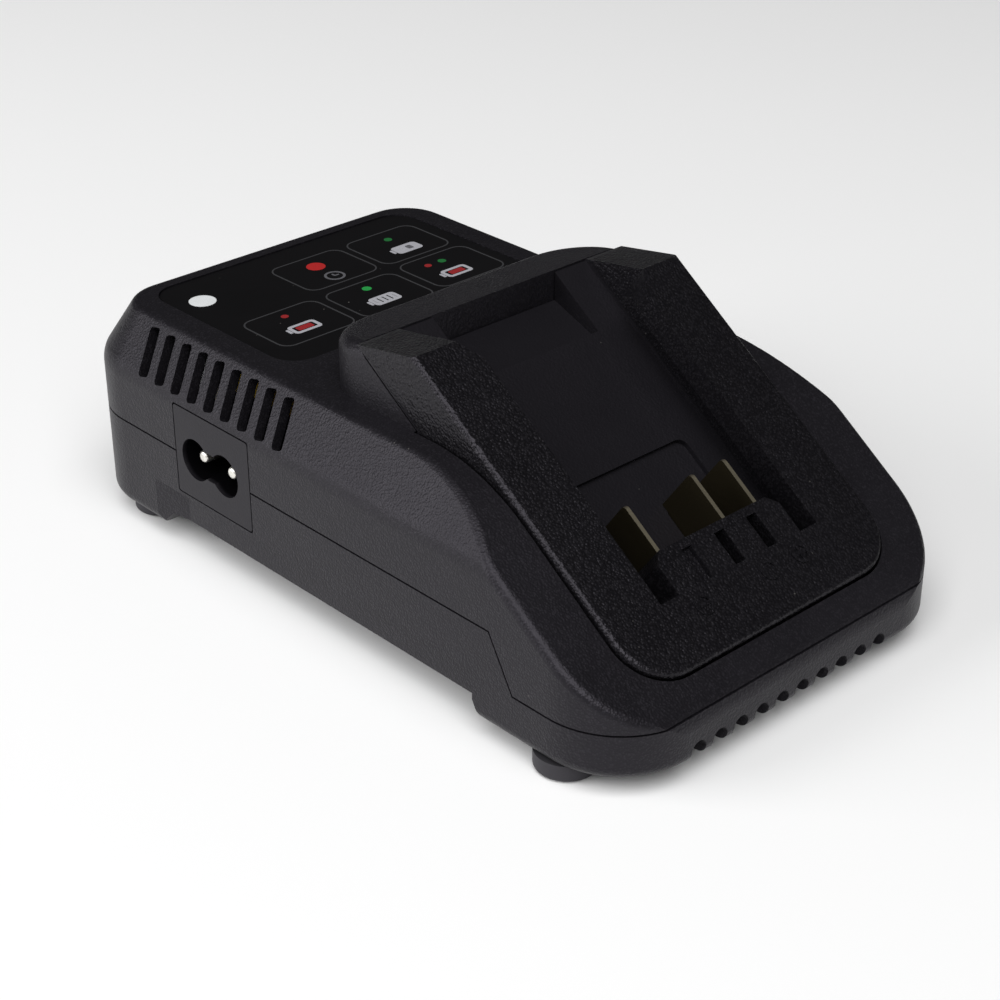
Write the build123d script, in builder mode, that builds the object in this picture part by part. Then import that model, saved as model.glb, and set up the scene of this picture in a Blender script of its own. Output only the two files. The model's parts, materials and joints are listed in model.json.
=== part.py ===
"""Bench charger for slide-on power tool batteries.

The case is two mouldings that part along a stepped line. A dock insert with two lipped
rails lies in an opening of the upper shell and takes the battery, which slides down the
ramp onto three brass blades. The mains comes in through a figure-8 inlet in the left wall.

Units are millimetres. X is to the right, Y to the rear and Z up. The origin is on the
surface that the feet stand on, under the middle of the case.
"""
import os
from math import atan, cos, degrees, pi, radians, sin, sqrt, tan

from build123d import *

os.makedirs("parts", exist_ok=True)

# ---------------------------------------------------------------- case, overall sizes
case_width = 86.0
case_length = 146.2
wall = 2.2
deck_height = 42.2
foot_height = 3.3
belly_height = 6.8
shoulder_height = 32.5
shoulder_inset = 6.5
front_corner = 15.6
rear_corner = 15.0
base_round = 2.2
top_round = 1.6
lip_round = 5.5
crease_round = 6.0
half_width = case_width / 2
half_length = case_length / 2
belly_front = 33.2 - half_length
belly_rear = half_length - 29.1
belly_ramp = 1.8
belly_inset = 1.2
belly_top = 12.7
belly_fade = 9.0
cut_margin = 5.0
upward = 0.7

# ---------------------------------------------------------------- dock plane and ramp
ramp_angle = 35.3
dock_setback = 14.1
dock_datum_height = 23.5
ramp_drop = 1.0
ramp_bend = 38.0
slope_cos = cos(radians(ramp_angle))
slope_sin = sin(radians(ramp_angle))
slope_tan = tan(radians(ramp_angle))
dock_datum_y = dock_setback - half_length
dock_datum = (0, dock_datum_y, dock_datum_height)
dock_top = Plane(origin=dock_datum, x_dir=(1, 0, 0), z_dir=(0, -slope_sin, slope_cos))
dock_side = Plane(origin=dock_datum, x_dir=(0, slope_cos, slope_sin), z_dir=(1, 0, 0))

# ---------------------------------------------------------------- parting line
parting_height = 21.5
parting_front_height = 11.8
parting_step_rear = 29.3
parting_step_front = 23.8
parting_gap = 0.35
tongue_setback = 3.0
tongue_height = 1.5
tongue_thick = 0.9
tongue_clearance = 0.15

# ---------------------------------------------------------------- dock insert
dock_width = 63.6
dock_nose = 11.6
dock_corner = 9.5
dock_gap = 0.45
dock_round = 0.9
bed_depth = 10.6
bed_thick = 2.4
nose_thick = 4.0
rail_inner = 22.4
lip_inner = 19.4
lip_thick = 4.6
lip_start = 50.5
peak_run = 55.3
ridge_run = 65.9
ledge_half = 15.1
ledge_length = 8.1
ledge_chamfer = 2.0
recess_half = 16.0
recess_end = 27.1
recess_depth = 1.0
pocket_half = 14.7
pocket_run = 51.7
pocket_drop = 5.6
pocket_skin = 1.6
pocket_sink = 1.8
flange_width = 2.0
flange_thick = 1.5
flange_run = 22.0
slot_width = 2.4
slot_length = 6.4
slot_pitch = 8.0
slot_setback = 0.75
blind_depth = 1.0
mark_setback = 3.3
mark_size = 3.8
mark_line = 0.6
mark_proud = 0.25
dock_half = dock_width / 2

# ---------------------------------------------------------------- hood behind the dock
hood_length = 12.0
hood_corner = 11.5
hood_inner_corner = 6.8
hood_round = 2.4
hood_fall = 0.172

# ---------------------------------------------------------------- terminals
blade_thick = 0.8
blade_length = 9.6
blade_top = 1.45
blade_tang_length = 6.0
blade_tang_setback = 1.8
blade_tang_reach = 20.0
blade_clearance = 0.15
blade_places = {"positive": 12.0, "signal": 4.0, "negative": -12.0}
block_half = 16.0
block_depth = 4.2
wire_diameter = 1.4
wire_depth = 18.8
wire_run = 5.5
wire_bend = 3.0
wire_board_inset = 3.5

# ---------------------------------------------------------------- mains inlet
inlet_setback = 43.75
inlet_width = 22.1
inlet_top = 31.4
inlet_bottom = 13.6
inlet_corner = 0.6
inlet_gap = 0.25
inlet_lobe = 4.1
inlet_pin_pitch = 8.6
inlet_pin_diameter = 2.36
inlet_pin_recess = 1.5
inlet_shank_diameter = 2.0
inlet_depth = 12.0
inlet_axis_height = 22.0
inlet_axis_offset = 0.75
inlet_body_depth = 14.5
inlet_flange = 1.5
inlet_waist = 5.6
inlet_tail = 2.0
inlet_wire_run = 3.6

# ---------------------------------------------------------------- vents
vent_count = 9
vent_pitch = 5.0
vent_width = 2.7
vent_length = 9.5
vent_lean = 12.7
vent_setback = 41.8
vent_drop = 0.5
notch_count = 10
notch_pitch = 5.05
notch_shift = 1.95
notch_width = 3.4
notch_height = 3.6

# ---------------------------------------------------------------- label and light
label_width = 62.8
label_length = 44.0
label_corner = 5.5
label_thick = 0.5
label_depth = 0.7
label_rear_margin = 9.4
label_clearance = 0.3
lens_diameter = 5.2
lens_stem = 3.6
lens_inset = 5.8
lens_setback = 19.2

# ---------------------------------------------------------------- feet and screws
foot_diameter = 11.0
foot_plug_diameter = 5.8
foot_plug_height = 1.4
foot_round = 0.8
foot_front_side_inset = 5.5
foot_rear_side_inset = 8.0
foot_front_inset = 16.8
foot_rear_inset = 14.4
column_radius = 3.0
lower_column_radius = 4.6
screw_diameter = 3.0
screw_head = 5.4
screw_head_height = 2.0
screw_length = 12.0
screw_clearance = 0.1
screw_hole_clearance = 0.4
screw_tip_room = 0.6
front_head_depth = 3.8
rear_head_depth = 8.0

# ---------------------------------------------------------------- circuit board
board_thick = 1.6
board_lift = 3.7
board_side_gap = 2.8
board_dock_run = 32.7
board_rear_gap = 13.0
board_column_gap = 0.4
board_screw_edge = 5.0
board_screw_front_inset = 6.0
board_screw_rear_inset = 16.4
board_screw_diameter = 2.5
board_screw_head = 4.6
board_screw_head_height = 1.6
standoff_radius = 2.8
seat_gap = 0.05

# ---------------------------------------------------------------- parts on the board
part_gap = 2.2
roof_gap = 2.7
chip_gap = 1.0
choke_diameter = 15.0
choke_bore = 6.0
choke_height = 9.0
fuse_edge = 4.0
fuse_inset = 20.3
fuse_length = 20.0
fuse_body = 4.6
fuse_cap = 5.2
input_can_diameter = 13.0
input_can_offset = 1.9
output_can_diameter = 10.0
output_can_height = 15.0
output_can_inset = 13.3
output_can_pitch = 12.0
can_crimp = 0.5
film_width = 18.0
film_depth = 8.5
film_height = 14.0
film_corner = 0.8
film_inset = 12.1
bridge_width = 14.0
bridge_depth = 3.6
bridge_height = 11.0
bridge_corner = 0.5
opto_width = 6.4
opto_depth = 4.6
opto_height = 3.4
opto_corner = 0.4
opto_inset = 18.3
control_width = 4.0
control_depth = 9.8
control_height = 1.6
control_corner = 0.3
control_inset = 32.3
control_edge = 4.0
led_width = 3.2
led_depth = 2.8
led_height = 1.2
led_corner = 0.2
core_inset = 20.3
core_width = 25.0
core_depth = 16.0
core_height = 20.0
core_limb = 7.5
core_side_limb = 3.75
core_gap = 0.4
sink_thick = 1.8
sink_length = 22.0
sink_fin = 3.0
sink_height = 18.0
primary_sink_edge = 14.0
output_sink_inset = 16.3
chip_thick = 4.4
chip_width = 10.0
chip_height = 12.0
chip_lift = 4.0
chip_lead = 0.8

# ---------------------------------------------------------------- worked out from the above
left_x = -half_width
floor_top = belly_height + wall
board_bottom = floor_top + board_lift
board_top = board_bottom + board_thick
ridge_y = dock_datum_y + ridge_run * slope_cos + bed_depth * slope_sin
ridge_z = dock_datum_height + ridge_run * slope_sin - bed_depth * slope_cos
hood_rear_y = ridge_y + hood_length
foot_front_x = half_width - foot_front_side_inset
foot_rear_x = half_width - foot_rear_side_inset
foot_front_y = foot_front_inset - half_length
foot_rear_y = half_length - foot_rear_inset
feet_places = [(-foot_front_x, foot_front_y), (-foot_rear_x, foot_rear_y),
               (foot_front_x, foot_front_y), (foot_rear_x, foot_rear_y)]
head_seats = {foot_front_y: foot_height + front_head_depth,
              foot_rear_y: parting_height - rear_head_depth}
inlet_centre_y = half_length - inlet_setback
inlet_axis_y = inlet_centre_y + inlet_axis_offset
lens_x = lens_inset - label_width / 2
lens_y = half_length - lens_setback
tail_x = left_x + inlet_body_depth + inlet_tail
board_width = case_width - 2 * wall - 2 * board_side_gap
board_edge_x = board_width / 2
board_front_y = dock_datum_y + board_dock_run
board_rear_y = half_length - board_rear_gap
board_screw_x = board_edge_x - board_screw_edge
board_screw_front_y = board_front_y + board_screw_front_inset
board_screw_rear_y = board_rear_y - board_screw_rear_inset
column_room = sqrt(2) * (lower_column_radius + board_column_gap)
board_chamfer = board_edge_x + board_rear_y - foot_rear_x - foot_rear_y + column_room
wire_board_y = board_front_y + wire_board_inset


def dock_point(run, height):
    """Y and Z of a point that lies `run` up the slope and `height` off the dock plane."""
    y = dock_datum_y + run * slope_cos - height * slope_sin
    z = dock_datum_height + run * slope_sin + height * slope_cos
    return y, z


def case_outline(inset):
    """Plan outline of the case, drawn in by `inset`."""
    with BuildSketch() as outline:
        Rectangle(case_width - 2 * inset, case_length - 2 * inset)
        fillet(outline.vertices().group_by(Axis.Y)[0], radius=front_corner - inset)
        fillet(outline.vertices().group_by(Axis.Y)[-1], radius=rear_corner - inset)
    return outline.sketch


def lip_waste():
    """What is cut away in front of the rolled front lip of the ramp."""
    roll_y = lip_round - half_length
    start_y = roll_y - lip_round * slope_sin
    start_z = dock_datum_height - ramp_drop / slope_cos + (start_y - dock_datum_y) * slope_tan
    roll_z = start_z - lip_round * slope_cos
    crest = (radians(ramp_angle) + 3 * pi / 2) / 2
    outside = -half_length - cut_margin
    with BuildPart() as waste:
        with BuildSketch(Plane.YZ):
            with BuildLine():
                ThreePointArc((start_y, start_z), (roll_y + lip_round * cos(crest),
                                                   roll_z + lip_round * sin(crest)),
                              (-half_length, roll_z))
                Polyline((-half_length, roll_z), (outside, roll_z),
                         (outside, start_z + cut_margin), (start_y, start_z + cut_margin),
                         (start_y, start_z))
            make_face()
        extrude(amount=case_width, both=True)
    return waste.part


def case_form(inset, rounded):
    """Solid of the whole case, drawn in by `inset` on every side."""
    lean_tan = shoulder_inset / (deck_height - shoulder_height)
    skew = sqrt(1 + lean_tan**2)
    crease = shoulder_height - inset * (skew - 1) / lean_tan
    top = deck_height - inset
    bottom = foot_height + inset
    ramp_foot = dock_datum_height - (ramp_drop + inset) / slope_cos
    bend_y = dock_datum_y + (top - ramp_foot) / slope_tan
    ramp_end = -half_length - wall
    ramp_end_z = ramp_foot + (ramp_end - dock_datum_y) * slope_tan
    with BuildPart() as form:
        with BuildSketch(Plane.XY.offset(bottom)):
            add(case_outline(inset))
        extrude(amount=crease - bottom)
        if rounded:
            fillet(form.edges().group_by(Axis.Z)[0], radius=base_round)
        with BuildSketch(Plane.XY.offset(crease)):
            add(case_outline(inset))
        extrude(amount=top - crease, taper=degrees(atan(lean_tan)))
        if rounded:
            fillet(form.edges().filter_by_position(Axis.Z, crease, crease), radius=crease_round)
        with BuildSketch(Plane.YZ) as side_view:
            with BuildLine():
                Polyline((half_length + wall, 0), (half_length + wall, top), (bend_y, top),
                         (ramp_end, ramp_end_z), (ramp_end, 0), close=True)
            make_face()
            bend = side_view.vertices().sort_by_distance((bend_y, top))[0]
            fillet(bend, radius=ramp_bend - inset)
        extrude(amount=case_width, both=True, mode=Mode.INTERSECT)
        if rounded:
            tops = [f for f in form.faces() if f.normal_at(f.center()).Z > upward]
            rims = ShapeList(e for f in tops for e in f.edges())
            across = [e for e in rims if abs(e.center().X) < seat_gap
                      and abs(e.center().Y) < half_length - front_corner]
            rims = ShapeList(e for e in rims if e not in across)
            fillet(rims, radius=top_round)
            add(lip_waste(), mode=Mode.SUBTRACT)
    return form.part


def below_parting(lift):
    """Everything under the stepped parting line, raised by `lift`."""
    step_rear = parting_step_rear - half_length - lift / 2
    step_front = parting_step_front - half_length - lift / 2
    far = half_length + cut_margin
    with BuildPart() as region:
        with BuildSketch(Plane.YZ):
            with BuildLine():
                Polyline((-far, -cut_margin), (-far, parting_front_height + lift),
                         (step_front, parting_front_height + lift),
                         (step_rear, parting_height + lift), (far, parting_height + lift),
                         (far, -cut_margin), close=True)
            make_face()
        extrude(amount=case_width, both=True)
    return region.part


def wall_band(outer, inner, bottom, top):
    """Ring that follows the side and rear walls between two insets from the outside."""
    with BuildPart() as band:
        with BuildSketch(Plane.XY.offset(bottom)):
            add(case_outline(outer))
            add(case_outline(inner), mode=Mode.SUBTRACT)
        extrude(amount=top - bottom)
        with BuildSketch(Plane.XY.offset(bottom)):
            with Locations((0, parting_step_rear + tongue_setback)):
                Rectangle(2 * case_width, case_length)
        extrude(amount=top - bottom, mode=Mode.INTERSECT)
    return band.part


def dock_outline(grow, run_end):
    """Outline of the dock insert on the dock plane, grown by a gap."""
    start = -dock_nose - grow
    with BuildSketch() as outline:
        with Locations((0, (start + run_end) / 2)):
            Rectangle(dock_width + 2 * grow, run_end - start)
        fillet(outline.vertices().group_by(Axis.Y)[0], radius=dock_corner + grow)
    return outline.sketch


def inlet_plate(grow, flush_x, depth):
    """Plate of the inlet insert in the left wall, grown by a gap."""
    width = inlet_width + 2 * grow
    height = inlet_top - inlet_bottom + 2 * grow
    with BuildPart() as plate:
        with BuildSketch(Plane(origin=(flush_x, inlet_centre_y, (inlet_top + inlet_bottom) / 2),
                               x_dir=(0, 1, 0), z_dir=(1, 0, 0))):
            RectangleRounded(width, height, inlet_corner)
        extrude(amount=depth)
    return plate.part


outer_form = case_form(0, True)
inner_form = case_form(wall, False)
mid_form = case_form(wall / 2, False)
hood_foot_run = (deck_height - dock_datum_height + bed_depth * slope_cos) / slope_sin
inner_half = dock_half - wall

# ================================================================ upper_shell
with BuildPart() as hood:
    with BuildSketch(Plane.YZ):
        foot_y, foot_z = dock_point(hood_foot_run - wall / slope_sin, -bed_depth)
        with BuildLine():
            Polyline((foot_y, foot_z), (ridge_y, ridge_z),
                     (hood_rear_y, ridge_z - hood_length * hood_fall),
                     (hood_rear_y, foot_z), close=True)
        make_face()
    extrude(amount=dock_half, both=True)
    fillet(hood.edges().filter_by(Axis.Z).group_by(Axis.Y)[-1], radius=hood_corner)
    hood_top = hood.faces().filter_by(lambda f: f.normal_at(f.center()).Z > upward).sort_by(Axis.Z)[-1]
    fillet([e for e in hood_top.edges() if e.center().Y > ridge_y + seat_gap], radius=hood_round)

with BuildPart() as hood_hollow:
    with BuildSketch(Plane.XY.offset(deck_height - 2 * wall)) as hollow_plan:
        with Locations((0, (ridge_y + hood_rear_y) / 2)):
            Rectangle(2 * inner_half, hood_length - 2 * wall)
        fillet(hollow_plan.vertices().group_by(Axis.Y)[-1], radius=hood_inner_corner)
    extrude(amount=ridge_z)
    with BuildSketch(Plane.YZ):
        with BuildLine():
            Polyline((ridge_y, 0), (ridge_y, ridge_z - wall),
                     (hood_rear_y, ridge_z - wall - hood_length * hood_fall),
                     (hood_rear_y, 0), close=True)
        make_face()
    extrude(amount=dock_half, both=True, mode=Mode.INTERSECT)

with BuildPart() as upper_columns:
    with BuildSketch():
        with Locations(*feet_places):
            Circle(column_radius)
    extrude(amount=deck_height)
    add(mid_form, mode=Mode.INTERSECT)

with BuildPart() as upper_shell:
    add(outer_form)
    add(hood.part)
    add(inner_form, mode=Mode.SUBTRACT)
    add(hood_hollow.part, mode=Mode.SUBTRACT)
    # screw columns that hang from the roof
    add(upper_columns.part)
    # opening for the dock insert, and the open front of the hood below it
    with BuildSketch(dock_top.offset(-4 * bed_depth)):
        add(dock_outline(dock_gap, hood_foot_run))
    extrude(amount=6 * bed_depth, mode=Mode.SUBTRACT)
    with BuildSketch(Plane.XY.offset(deck_height - 2 * wall)):
        opening_front = dock_point(hood_foot_run, -bed_depth)[0] - wall
        with Locations((0, (opening_front + ridge_y) / 2)):
            Rectangle(2 * inner_half, ridge_y - opening_front)
    extrude(amount=ridge_z, mode=Mode.SUBTRACT)
    add(below_parting(parting_gap), mode=Mode.SUBTRACT)
    add(wall_band(wall - tongue_thick - tongue_clearance, wall + tongue_clearance,
                  parting_height, parting_height + tongue_height + tongue_clearance),
        mode=Mode.SUBTRACT)
    for x, y in feet_places:
        with Locations((x, y, 0)):
            Cylinder(screw_diameter / 2 + screw_clearance,
                     head_seats[y] + screw_length + screw_tip_room,
                     align=(Align.CENTER, Align.CENTER, Align.MIN), mode=Mode.SUBTRACT)
    # shoulder vents
    for side in (-1, 1):
        facet = Plane(
            origin=(side * (half_width - shoulder_inset / 2), half_length - vent_setback,
                    (shoulder_height + deck_height) / 2),
            x_dir=(0, side, 0), z_dir=(side * (deck_height - shoulder_height), 0, shoulder_inset))
        with BuildSketch(facet):
            with Locations((0, -vent_drop)):
                with GridLocations(vent_pitch, 0, vent_count, 1):
                    RectangleRounded(vent_width, vent_length, vent_width / 4,
                                     rotation=-side * vent_lean)
        extrude(amount=2 * wall, both=True, mode=Mode.SUBTRACT)
    # label recess and light hole
    label_y = half_length - label_rear_margin - label_length / 2
    with BuildSketch(Plane.XY.offset(deck_height)):
        with Locations((0, label_y)):
            RectangleRounded(label_width, label_length, label_corner)
    extrude(amount=-label_depth, mode=Mode.SUBTRACT)
    with Locations((lens_x, lens_y, deck_height)):
        Hole(radius=lens_stem / 2 + label_clearance, depth=2 * wall)
    add(inlet_plate(inlet_gap, left_x - cut_margin, 2 * cut_margin), mode=Mode.SUBTRACT)
upper_shell.part.label = "upper_shell"
export_step(upper_shell.part, "parts/upper_shell.step")

# ================================================================ lower_shell
lower_column_tops = {foot_front_y: parting_front_height, foot_rear_y: parting_height}

with BuildPart() as belly_cut:
    with BuildSketch(Plane.YZ):
        with BuildLine():
            Polyline((belly_front - belly_ramp, 0), (belly_front - belly_ramp, foot_height),
                     (belly_front, belly_height), (belly_rear, belly_height),
                     (belly_rear + 2 * belly_ramp, foot_height),
                     (belly_rear + 2 * belly_ramp, 0), close=True)
        make_face()
    extrude(amount=case_width, both=True)
    for side in (-1, 1):
        with BuildSketch():
            with BuildLine():
                Polyline((side * (half_width + cut_margin), belly_front),
                         (side * (half_width - belly_inset), belly_front),
                         (side * (half_width - belly_inset), belly_rear - belly_fade / 2),
                         (side * half_width, belly_rear + belly_fade / 2),
                         (side * (half_width + cut_margin), belly_rear + belly_fade / 2),
                         close=True)
            make_face()
        extrude(amount=belly_top)

with BuildPart() as belly_floor:
    with BuildSketch(Plane.YZ):
        with BuildLine():
            Polyline((belly_front - belly_ramp - wall, foot_height + wall / 2),
                     (belly_front - belly_ramp / 2, floor_top),
                     (belly_rear + belly_ramp / 2, floor_top),
                     (belly_rear + 2 * belly_ramp + wall, foot_height + wall / 2), close=True)
        make_face()
    extrude(amount=half_width - wall / 2, both=True)

with BuildPart() as lower_columns:
    for place in feet_places:
        with BuildSketch():
            with Locations(place):
                Circle(lower_column_radius)
        extrude(amount=lower_column_tops[place[1]])
    with BuildSketch():
        with GridLocations(2 * board_screw_x, board_screw_rear_y - board_screw_front_y, 2, 2):
            with Locations((0, (board_screw_rear_y + board_screw_front_y) / 2)):
                Circle(standoff_radius)
    extrude(amount=board_bottom)
    add(mid_form, mode=Mode.INTERSECT)

with BuildPart() as lower_shell:
    add(outer_form)
    add(inner_form, mode=Mode.SUBTRACT)
    add(below_parting(0), mode=Mode.INTERSECT)
    add(wall_band(wall - tongue_thick, wall, parting_height - wall,
                  parting_height + tongue_height))
    add(lower_columns.part)
    add(belly_floor.part)
    add(belly_cut.part, mode=Mode.SUBTRACT)
    for place in feet_places:
        seat = head_seats[place[1]]
        with Locations((place[0], place[1], seat)):
            Cylinder(screw_diameter / 2 + screw_hole_clearance, case_width,
                     align=(Align.CENTER, Align.CENTER, Align.MIN), mode=Mode.SUBTRACT)
            Cylinder(foot_plug_diameter / 2 + screw_clearance, seat,
                     align=(Align.CENTER, Align.CENTER, Align.MAX), mode=Mode.SUBTRACT)
    with BuildSketch(Plane.XY.offset(board_bottom)):
        with Locations((0, (board_screw_rear_y + board_screw_front_y) / 2)):
            with GridLocations(2 * board_screw_x, board_screw_rear_y - board_screw_front_y, 2, 2):
                Circle(board_screw_diameter / 2 + screw_clearance)
    extrude(amount=-board_lift - wall / 2, mode=Mode.SUBTRACT)
    # arched notches in the front wall
    with BuildSketch(Plane.XZ.offset(half_length - 2 * wall)):
        with Locations((-notch_shift, foot_height)):
            with GridLocations(notch_pitch, 0, notch_count, 1):
                SlotOverall(2 * notch_height, notch_width, rotation=90)
    extrude(amount=4 * wall, mode=Mode.SUBTRACT)
    add(inlet_plate(inlet_gap, left_x - cut_margin, 2 * cut_margin), mode=Mode.SUBTRACT)
lower_shell.part.label = "lower_shell"
export_step(lower_shell.part, "parts/lower_shell.step")

# ================================================================ battery_dock
block_top = -bed_depth - bed_thick
ledge_slots = [(0, 1), (1, 1), (-1, 0)]
tang_start = ledge_length + blade_tang_setback
seam_y = ridge_y - parting_gap

with BuildPart() as battery_dock:
    with BuildSketch(dock_top.offset(block_top)):
        add(dock_outline(0, ridge_run + bed_depth))
    extrude(amount=-block_top)
    with BuildSketch(dock_side):
        with BuildLine():
            Polyline((-2 * dock_nose, 0), (peak_run, 0), (ridge_run, -bed_depth),
                     (ridge_run + cut_margin, -bed_depth), (ridge_run + cut_margin, block_top),
                     (-wall, block_top), (-wall, -nose_thick), (-2 * dock_nose, -nose_thick),
                     close=True)
        make_face()
    extrude(amount=dock_width, both=True, mode=Mode.INTERSECT)
    with BuildSketch(Plane.YZ):
        with Locations((seam_y + dock_width / 2, ridge_z)):
            Rectangle(dock_width, dock_width)
    extrude(amount=dock_width, both=True, mode=Mode.SUBTRACT)
    dock_axis = Axis(dock_datum, tuple(dock_top.z_dir))
    outer_rim = [e for e in battery_dock.faces().sort_by(dock_axis)[-1].edges()
                 if e.center().Y < dock_point(peak_run - 1, 0)[0]]
    fillet(outer_rim, radius=dock_round)
    # skin of the latch pocket
    pocket_front_y, pocket_front_z = dock_point(pocket_run, -bed_depth)
    with BuildSketch(Plane.YZ):
        with BuildLine():
            Polyline((pocket_front_y - pocket_skin, pocket_front_z),
                     (pocket_front_y - pocket_skin,
                      pocket_front_z - pocket_sink - 2 * pocket_skin),
                     (seam_y, ridge_z - pocket_drop - pocket_skin),
                     (seam_y, ridge_z - pocket_skin), close=True)
        make_face()
    extrude(amount=pocket_half + pocket_skin, both=True)
    # sunk bed, rail grooves and lead-in
    ledge_back = ledge_length - ledge_chamfer
    bed_end = ridge_run + bed_depth
    with BuildSketch(dock_top.offset(-bed_depth)):
        for reach in (1, -1):
            with BuildLine():
                Polyline((0, ledge_length), (reach * (ledge_half - ledge_chamfer), ledge_length),
                         (reach * ledge_half, ledge_back), (reach * ledge_half, 0),
                         (reach * lip_inner, 0), (reach * lip_inner, lip_start),
                         (reach * rail_inner, peak_run), (reach * rail_inner, bed_end),
                         (0, bed_end), close=True)
            make_face()
    extrude(amount=2 * bed_depth, mode=Mode.SUBTRACT)
    with BuildSketch(dock_top.offset(-bed_depth)):
        for reach in (1, -1):
            with Locations((reach * (lip_inner + rail_inner) / 2, bed_end / 2)):
                Rectangle(rail_inner - lip_inner + 4 * seat_gap, bed_end)
    extrude(amount=bed_depth - lip_thick, mode=Mode.SUBTRACT)
    with BuildSketch(Plane.YZ):
        with BuildLine():
            Polyline((pocket_front_y, pocket_front_z - pocket_sink),
                     (ridge_y, ridge_z - pocket_drop), (ridge_y, ridge_z + cut_margin),
                     (pocket_front_y, pocket_front_z + cut_margin), close=True)
        make_face()
    extrude(amount=pocket_half, both=True, mode=Mode.SUBTRACT)
    with BuildSketch(dock_top.offset(-bed_depth)):
        with Locations((0, (recess_end + ledge_length) / 2)):
            RectangleRounded(2 * recess_half, recess_end - ledge_length, ledge_chamfer)
    extrude(amount=-recess_depth, mode=Mode.SUBTRACT)
    # hollow rails, the seat on the hood and the side flanges
    with BuildSketch(dock_top.offset(block_top)):
        for reach in (1, -1):
            with Locations((reach * (rail_inner + wall + inner_half) / 2, (peak_run - wall) / 2)):
                Rectangle(inner_half - rail_inner - wall, peak_run + wall)
    extrude(amount=-block_top - wall, mode=Mode.SUBTRACT)
    seat_inner = inner_half - dock_gap
    with BuildSketch(dock_top.offset(block_top)):
        for reach in (1, -1):
            with Locations((reach * (seat_inner + dock_half / 2), hood_foot_run + bed_end / 2)):
                Rectangle(dock_half, bed_end + 2 * parting_gap)
    extrude(amount=bed_thick + parting_gap, mode=Mode.SUBTRACT)
    flange_top = -ramp_drop - wall - dock_gap
    with BuildSketch(dock_top.offset(flange_top)):
        for reach in (1, -1):
            with Locations((reach * dock_half, flange_run / 2)):
                Rectangle(2 * flange_width, flange_run)
    extrude(amount=-flange_thick)
    # slots in the ledge, one of them blind, and slots for the blade tangs
    for place, through in ledge_slots:
        with BuildSketch(dock_top):
            with Locations((place * slot_pitch, ledge_length / 2 - slot_setback)):
                Rectangle(slot_width, slot_length)
        extrude(amount=2 * block_top if through else -blind_depth, mode=Mode.SUBTRACT)
    with BuildSketch(dock_top.offset(-bed_depth)):
        for place in blade_places.values():
            with Locations((place, tang_start + blade_tang_length / 2)):
                Rectangle(blade_thick + 2 * blade_clearance, blade_tang_length + 2 * blade_clearance)
    extrude(amount=-2 * bed_thick, mode=Mode.SUBTRACT)
    # plain ring marks on the nose, one of them with a bar and one with a cross
    with BuildSketch(dock_top):
        for place in blade_places.values():
            with Locations((place, -mark_setback)):
                Circle(mark_size / 2)
                Circle(mark_size / 2 - mark_line, mode=Mode.SUBTRACT)
        for name in ("negative", "positive"):
            with Locations((blade_places[name], -mark_setback)):
                Rectangle(mark_size - 2 * mark_line, mark_line)
        with Locations((blade_places["positive"], -mark_setback)):
            Rectangle(mark_line, mark_size - 2 * mark_line)
    extrude(amount=mark_proud)
battery_dock.part.label = "battery_dock"
export_step(battery_dock.part, "parts/battery_dock.step")

# ================================================================ terminals
blade_root = ledge_length + blade_clearance
blade_foot = -bed_depth - recess_depth + seat_gap
for name, place in blade_places.items():
    with BuildPart() as blade:
        with BuildSketch(dock_side.offset(place - blade_thick / 2)) as blade_side:
            with BuildLine():
                Polyline((blade_root, blade_foot), (blade_root, -blade_top),
                         (blade_root + blade_length, -blade_top),
                         (blade_root + blade_length, blade_foot),
                         (tang_start + blade_tang_length, blade_foot),
                         (tang_start + blade_tang_length, -blade_tang_reach),
                         (tang_start, -blade_tang_reach), (tang_start, blade_foot), close=True)
            make_face()
            tip = blade_side.vertices().sort_by_distance((blade_root + blade_length, -blade_top))
            fillet(tip[0], radius=blade_thick)
        extrude(amount=blade_thick)
    blade.part.label = f"terminal_blade_{name}"
    export_step(blade.part, f"parts/terminal_blade_{name}.step")

with BuildPart() as terminal_block:
    with BuildSketch(dock_top.offset(block_top - seat_gap)):
        with Locations((0, tang_start + blade_tang_length / 2)):
            RectangleRounded(2 * block_half, blade_length, blade_thick)
        for place in blade_places.values():
            with Locations((place, tang_start + blade_tang_length / 2)):
                Rectangle(blade_thick + 2 * seat_gap, blade_tang_length + 2 * seat_gap,
                          mode=Mode.SUBTRACT)
    extrude(amount=-block_depth)
terminal_block.part.label = "terminal_block"
export_step(terminal_block.part, "parts/terminal_block.step")

with BuildPart() as terminal_wires:
    wire_y, wire_z = dock_point(tang_start + blade_tang_length + seat_gap, -wire_depth)
    lift_y, lift_z = dock_point(tang_start + blade_tang_length + wire_run, -wire_depth)
    for place in blade_places.values():
        with BuildLine() as route:
            FilletPolyline((place, wire_y, wire_z), (place, lift_y, lift_z),
                           (place, wire_board_y, lift_z),
                           (place, wire_board_y, board_top + seat_gap), radius=wire_bend)
        start = Plane(origin=(place, wire_y, wire_z), z_dir=dock_side.x_dir)
        with BuildSketch(start):
            Circle(wire_diameter / 2)
        sweep(path=route.wires()[0])
terminal_wires.part.label = "terminal_wires"
export_step(terminal_wires.part, "parts/terminal_wires.step")

# ================================================================ mains inlet
body_x = left_x + wall + seat_gap
inlet_face = Plane(origin=(left_x, inlet_axis_y, inlet_axis_height), x_dir=(0, 1, 0),
                   z_dir=(1, 0, 0))
with BuildPart() as inlet_stop:
    add(inlet_plate(inlet_flange, body_x, inlet_flange))
    add(case_form(wall + seat_gap, False), mode=Mode.INTERSECT)

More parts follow.
